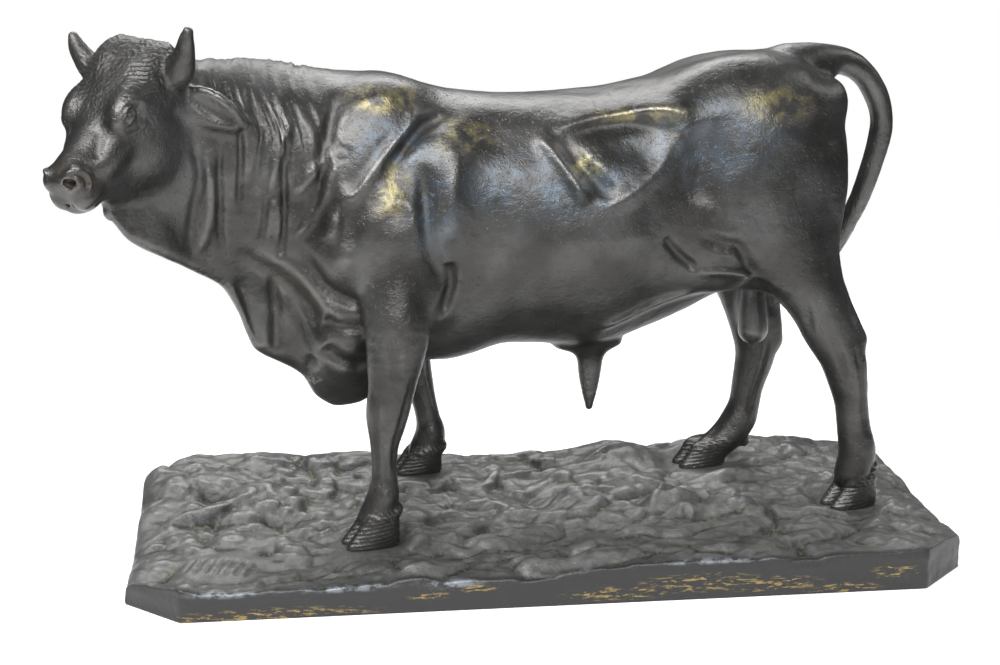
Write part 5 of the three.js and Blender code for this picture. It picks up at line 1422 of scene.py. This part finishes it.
ground_corners, ground_faces, underside = base_mesh()
ground_bend = bend_of(ground_corners, ground_faces)
from_side = BASE_WIDTH / 2 - np.abs(ground_corners[:, 1])
facing_up = corner_normals(ground_corners, ground_faces)[:, 2]
# on_top is 1 on the ground's gentler slopes and 0 on the wall and steep faces, which the material darkens as
# painted shade
on_top = ramp(0.5, 3.5, from_side) * ramp(0.3, 0.8, facing_up)
base = mesh_object(
    "rocky_ground", ground_corners, ground_faces.tolist() + [underside[::-1].tolist()],
    {"bend": ground_bend, "on_top": on_top},
)
print(base.name, "triangles", triangles_in(base))
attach(base, "root")
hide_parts("ground_base")

# %% [markdown]
# Materials are sums and products of noises and of the bend that the meshes carry. Writing those sums as
# nodes is tiresome, so one small class wraps a socket and turns Python's own signs into nodes.

# %% Shader maths


class Wire:
    """A socket of a shader that can be added, multiplied and compared like a number."""

    def __init__(self, paint, socket):
        self.paint, self.socket = paint, socket

    def _math(self, operation, a, b):
        return self.paint.node("ShaderNodeMath", {"operation": operation}, {0: a, 1: b})

    def __add__(self, other):
        return self._math("ADD", self, other)

    def __sub__(self, other):
        return self._math("SUBTRACT", self, other)

    def __rsub__(self, other):
        return self._math("SUBTRACT", other, self)

    def __mul__(self, other):
        return self._math("MULTIPLY", self, other)

    def __pow__(self, other):
        return self._math("POWER", self, other)

    __radd__ = __add__
    __rmul__ = __mul__

    def most(self, other):
        return self._math("MAXIMUM", self, other)

    def ramp(self, low, high):
        """0 up to low, 1 from high on, and smooth between."""
        settings = {"interpolation_type": "SMOOTHSTEP"}
        return self.paint.node(
            "ShaderNodeMapRange", settings, {"Value": self, "From Min": low, "From Max": high}
        )


class Paint:
    """A material under construction."""

    def __init__(self, name):
        self.material = bpy.data.materials.new(name)
        self.material.use_nodes = True
        self.tree = self.material.node_tree
        self.shader = self.tree.nodes["Principled BSDF"]
        self.place = self.node("ShaderNodeTexCoord", output="Object")

    def node(self, kind, settings=None, inputs=None, output=0):
        """Any node: its type, its settings, then the values or links of its sockets."""
        node = self.tree.nodes.new(kind)
        for key, value in (settings or {}).items():
            setattr(node, key, value)
        for key, value in (inputs or {}).items():
            self.feed(node.inputs[key], value)
        return Wire(self, node.outputs[output])

    def feed(self, socket, value):
        if isinstance(value, Wire):
            self.tree.links.new(value.socket, socket)
        else:
            socket.default_value = value

    def noise(self, scale, detail=2.0, rough=0.5, stretch=(1, 1, 1)):
        """Noise from 0 to 1, with scale in lumps a metre."""
        spot = self.node(
            "ShaderNodeVectorMath", {"operation": "MULTIPLY"}, {0: self.place, 1: stretch}
        )
        return self.node(
            "ShaderNodeTexNoise", None, {"Vector": spot, "Scale": scale, "Detail": detail, "Roughness": rough}
        )

    def blend(self, share, a, b):
        """Colour a where share is 0 and colour b where it is 1."""
        colours = [c if isinstance(c, Wire) else (*c, 1.0) for c in (a, b)]
        return self.node(
            "ShaderNodeMix", {"data_type": "RGBA"}, {0: share, 6: colours[0], 7: colours[1]}, output=2
        )

    def spot(self, centre, size):
        """1 at a named place and fading to 0 about size away, both in millimetres."""
        off = self.node("ShaderNodeVectorMath", {"operation": "SUBTRACT"},
                        {0: self.place, 1: [c * MM for c in centre]})
        scaled = self.node("ShaderNodeVectorMath", {"operation": "MULTIPLY"},
                           {0: off, 1: [1 / (s * MM) for s in size]})
        gap = self.node("ShaderNodeVectorMath", {"operation": "LENGTH"}, {0: scaled}, output="Value")
        return 1 - gap.ramp(0.25, 1.0)

    def mark(self, name):
        return self.node("ShaderNodeAttribute", {"attribute_name": name}, output="Fac")

    def bump(self, height, distance, strength=1.0, under=None):
        inputs = {"Height": height, "Distance": distance * MM, "Strength": strength}
        if under is not None:
            inputs["Normal"] = under
        return self.node("ShaderNodeBump", None, inputs)

    def put(self, **inputs):
        for key, value in inputs.items():
            self.feed(self.shader.inputs[key.replace("_", " ")], value)


# %% [markdown]
# The bull's bronze is patinated almost black. In the light it shows what lies under the black: cold blue on
# the flank and the back, old gold on the shoulder, the loin and the rump, and warm brown on the muzzle and
# the chest. Dust the colour of dull brass has settled in the folds of the throat.

# %% Bronze of the bull
DARK = (0.045, 0.044, 0.042)
WORN = (0.090, 0.088, 0.087)
COOL = (0.084, 0.110, 0.138)
GOLD = (0.270, 0.235, 0.115)
WARM = (0.095, 0.072, 0.052)
CREST = (0.175, 0.172, 0.165)
DUST = (0.150, 0.140, 0.095)
COOL_SPOTS = named_rows("at size", [
    [[-6, -40, 160], [54, 40, 20]],
    [[-61, -30, 176], [24, 40, 16]],
    [[-46, -36, 152], [16, 30, 24]],
    [[66, -34, 176], [50, 40, 26]],
    [[20, -34, 162], [24, 30, 18]],
])
GOLD_SPOTS = named_rows("at size", [
    [[-64, -20, 194], [20, 30, 8]],
    [[-64, -34, 160], [11, 30, 14]],
    [[-33, -30, 180], [20, 30, 11]],
    [[14, -34, 168], [11, 30, 10]],
    [[38, -24, 187], [30, 24, 6]],
    [[96, -24, 190], [24, 30, 10]],
])
WARM_SPOTS = [
    dict(at=[-178, -62, 168], size=[18, 26, 14]),
    dict(at=[-96, -10, 118], size=[20, 40, 16]),
]
THROAT = dict(at=[-110, -10, 100], size=[62, 60, 62])
HAIR_SPOTS = [
    dict(at=[-160, -22, 222], size=[44, 44, 30]),
    dict(at=[-122, -14, 214], size=[46, 36, 16]),
]


def spots(paint, places):
    total = paint.spot(places[0]["at"], places[0]["size"])
    for place in places[1:]:
        total = total.most(paint.spot(place["at"], place["size"]))
    return total


def bull_bronze():
    paint = Paint("bull_bronze_patina")
    bend = paint.mark("bend")
    clouds = paint.noise(38, 3, 0.55)
    fine_clouds = paint.noise(150, 3, 0.6)
    hollow, crest = bend.ramp(0.56, 0.82), 1 - bend.ramp(0.16, 0.42)
    colour = paint.blend(clouds.ramp(0.35, 0.7), DARK, WORN)
    colour = paint.blend(spots(paint, COOL_SPOTS) * fine_clouds.ramp(0.35, 0.65) * 0.7, colour, COOL)
    colour = paint.blend(spots(paint, GOLD_SPOTS) * fine_clouds.ramp(0.40, 0.62) * 0.8, colour, GOLD)
    colour = paint.blend(spots(paint, WARM_SPOTS) * fine_clouds.ramp(0.4, 0.7) * 0.5, colour, WARM)
    colour = paint.blend(crest * 0.35, colour, CREST)
    throat = paint.spot(THROAT["at"], THROAT["size"])
    dust = hollow * paint.noise(700, 3, 0.7).ramp(0.56, 0.66) * (0.12 + throat * 0.88)
    colour = paint.blend(dust, colour, DUST)
    hair = spots(paint, HAIR_SPOTS)
    rough = 0.31 + hair * 0.2 + clouds * 0.12 + hollow * 0.18 - crest * 0.06 + paint.noise(900, 2, 0.6) * 0.08
    pits = paint.noise(1500, 2, 0.55)
    pores = paint.noise(520, 2, 0.6).ramp(0.60, 0.72)
    dents = paint.noise(300, 3, 0.6)
    skin_bump = paint.bump(dents, 0.55, 0.6)
    skin_bump = paint.bump(pits, 0.16, 0.7, skin_bump)
    skin_bump = paint.bump(1 - pores, 0.14, 0.7, skin_bump)
    paint.put(Base_Color=colour, Metallic=0.8, Roughness=rough, Normal=skin_bump, IOR=1.5,
              Coat_Weight=0.15, Coat_Roughness=0.3)
    return paint.material


bull.data.materials.append(bull_bronze())
print("bull material", bull.data.materials[0].name)

# %% [markdown]
# The base wears the same patina, but it is drier and greener, and handling has rubbed its edges. Along the
# front wall the yellow metal shows through in ragged streaks. A painted highlight lightens the crests of the
# ground, painted shade darkens its hollows, and a darker painted shade covers its wall and steep slopes.

# %% Bronze of the base
GROUND_DARK = (0.070, 0.072, 0.069)
GROUND_DRY = (0.150, 0.152, 0.144)
GROUND_PAINTED_HIGHLIGHT = (0.230, 0.236, 0.232)
GROUND_SHADE = (0.018, 0.018, 0.016)
GROUND_DUST = (0.150, 0.135, 0.075)
WALL_PAINTED_SHADE = (0.032, 0.033, 0.032)
RUBBED_GOLD = (0.300, 0.215, 0.075)
RUBBED_BLUE = (0.225, 0.245, 0.270)
WORN_EDGES = named_rows("at size", [
    [[-130, -66.5, 10.8], [20, 4, 2.4]],
    [[-86, -66.5, 11], [26, 4, 2.2]],
    [[-44, -66.5, 11], [16, 4, 3]],
    [[60, -66.5, 15.6], [34, 4, 1.8]],
])
WORN_STREAKS = named_rows("at size", [
    [[-112, -67, 1.6], [46, 9, 3.4]],
    [[-53, -67, 6.5], [9, 9, 2.6]],
    [[-34, -67, 9], [12, 9, 2]],
    [[22, -67, 4], [26, 9, 3.4]],
    [[54, -67, 7], [28, 9, 4.6]],
    [[84, -67, 5], [22, 9, 4]],
    [[112, -67, 2], [18, 9, 2.6]],
    [[134, -67, 8], [11, 9, 4]],
])


def base_bronze():
    paint = Paint("base_bronze_patina")
    bend = paint.mark("bend")
    clouds = paint.noise(45, 3, 0.55)
    hollow, crest = bend.ramp(0.56, 0.9), 1 - bend.ramp(0.1, 0.42)
    colour = paint.blend(clouds.ramp(0.3, 0.75) * 0.7, GROUND_DARK, GROUND_DRY)
    colour = paint.blend(paint.noise(420, 3, 0.7).ramp(0.4, 0.7) * 0.5, colour, GROUND_DRY)
    # painted highlight: the crests of the ground are lightened
    colour = paint.blend(crest * 0.3, colour, GROUND_PAINTED_HIGHLIGHT)
    # painted shade: the hollows of the ground are darkened
    colour = paint.blend(hollow * 0.8, colour, GROUND_SHADE)
    dust = hollow * paint.noise(500, 3, 0.7).ramp(0.52, 0.64) * 0.8
    colour = paint.blend(dust, colour, GROUND_DUST)
    # painted shade: the wall and the steep slopes, where on_top is low, are darkened instead of taking the
    # ground's colour
    colour = paint.blend(paint.mark("on_top"), WALL_PAINTED_SHADE, colour)
    scuffs = paint.noise(260, 4, 0.7, (0.7, 1, 1)).ramp(0.42, 0.6)
    colour = paint.blend(spots(paint, WORN_EDGES) * scuffs * 0.8, colour, RUBBED_BLUE)
    ragged = paint.noise(300, 5, 0.75, (0.5, 1, 2.6))
    streaks = spots(paint, WORN_STREAKS) ** 0.5 * ragged.ramp(0.53, 0.58)
    colour = paint.blend(streaks, colour, RUBBED_GOLD)
    rough = 0.44 + clouds * 0.14 + hollow * 0.12 - crest * 0.08 - streaks * 0.1
    grain = paint.noise(1100, 3, 0.6)
    lumps_bump = paint.bump(paint.noise(330, 3, 0.6), 0.6, 0.6)
    ground_bump = paint.bump(grain, 0.25, 0.7, lumps_bump)
    paint.put(Base_Color=colour, Metallic=0.4, Roughness=rough, Normal=ground_bump, IOR=1.5,
              Coat_Weight=0.10, Coat_Roughness=0.3)
    return paint.material


base.data.materials.append(base_bronze())
print("base material", base.data.materials[0].name)

# %% [markdown]
# A white floor, a white room and a few soft lamps: one broad lamp behind the back, one in front that draws
# the bright band along the barrel, two from the left for face and shoulder, and a weak one from the right.

# %% Floor and light
FLOOR_HALF = 0.55
FLOOR_WHITE = (0.86, 0.86, 0.86, 1)
FLOOR_GLOW = 0.35
ROOM_TINT = (0.92, 0.95, 1.0, 1)
ROOM_LIGHT = 0.05
PLAIN_WHITE = (1, 1, 1, 1)
LAMPS = named_rows("name around above away size power", [
    ["back high", 180, 55, 1000, [900, 400], 10],
    ["front", 8, 30, 1100, [560, 260], 7],
    ["front left", -28, 42, 1100, [420, 330], 9],
    ["left", -62, 42, 1100, [420, 330], 6],
    ["right", 95, 35, 1100, [500, 400], 2],
])
LAMP_AIM = [0, 0, 120]


def lay_floor():
    h = FLOOR_HALF
    mesh = bpy.data.meshes.new("floor")
    mesh.from_pydata([(-h, -h, 0), (h, -h, 0), (h, h, 0), (-h, h, 0)], [], [(0, 1, 2, 3)])
    floor = bpy.data.objects.new("floor", mesh)
    bpy.context.scene.collection.objects.link(floor)
    paint = Paint("floor_paint")
    paint.put(Base_Color=FLOOR_WHITE, Roughness=0.8, Emission_Color=PLAIN_WHITE,
              Emission_Strength=FLOOR_GLOW)
    mesh.materials.append(paint.material)


def hang_lamps():
    for lamp in LAMPS:
        light = bpy.data.lights.new(lamp["name"], "AREA")
        light.shape = "RECTANGLE"
        light.size, light.size_y = lamp["size"][0] * MM, lamp["size"][1] * MM
        light.energy = lamp["power"]
        item = bpy.data.objects.new(lamp["name"], light)
        bpy.context.scene.collection.objects.link(item)
        item.matrix_world = aimed(
            math.radians(lamp["around"]), math.radians(lamp["above"]), lamp["away"], LAMP_AIM
        )


def white_room():
    world = bpy.data.worlds.new("white_room")
    bpy.context.scene.world = world
    world.use_nodes = True
    tree = world.node_tree
    seen = tree.nodes.new("ShaderNodeBackground")
    seen.inputs["Color"].default_value = PLAIN_WHITE
    seen.inputs["Strength"].default_value = 1.0
    lit = tree.nodes["Background"]
    lit.inputs["Color"].default_value = ROOM_TINT
    lit.inputs["Strength"].default_value = ROOM_LIGHT
    ray = tree.nodes.new("ShaderNodeLightPath")
    choose = tree.nodes.new("ShaderNodeMixShader")
    tree.links.new(ray.outputs["Is Camera Ray"], choose.inputs["Fac"])
    tree.links.new(lit.outputs[0], choose.inputs[1])
    tree.links.new(seen.outputs[0], choose.inputs[2])
    tree.links.new(choose.outputs[0], tree.nodes["World Output"].inputs["Surface"])


lay_floor()
hang_lamps()
white_room()
bpy.context.scene.view_settings.view_transform = "Standard"
print("lamps", len(LAMPS))
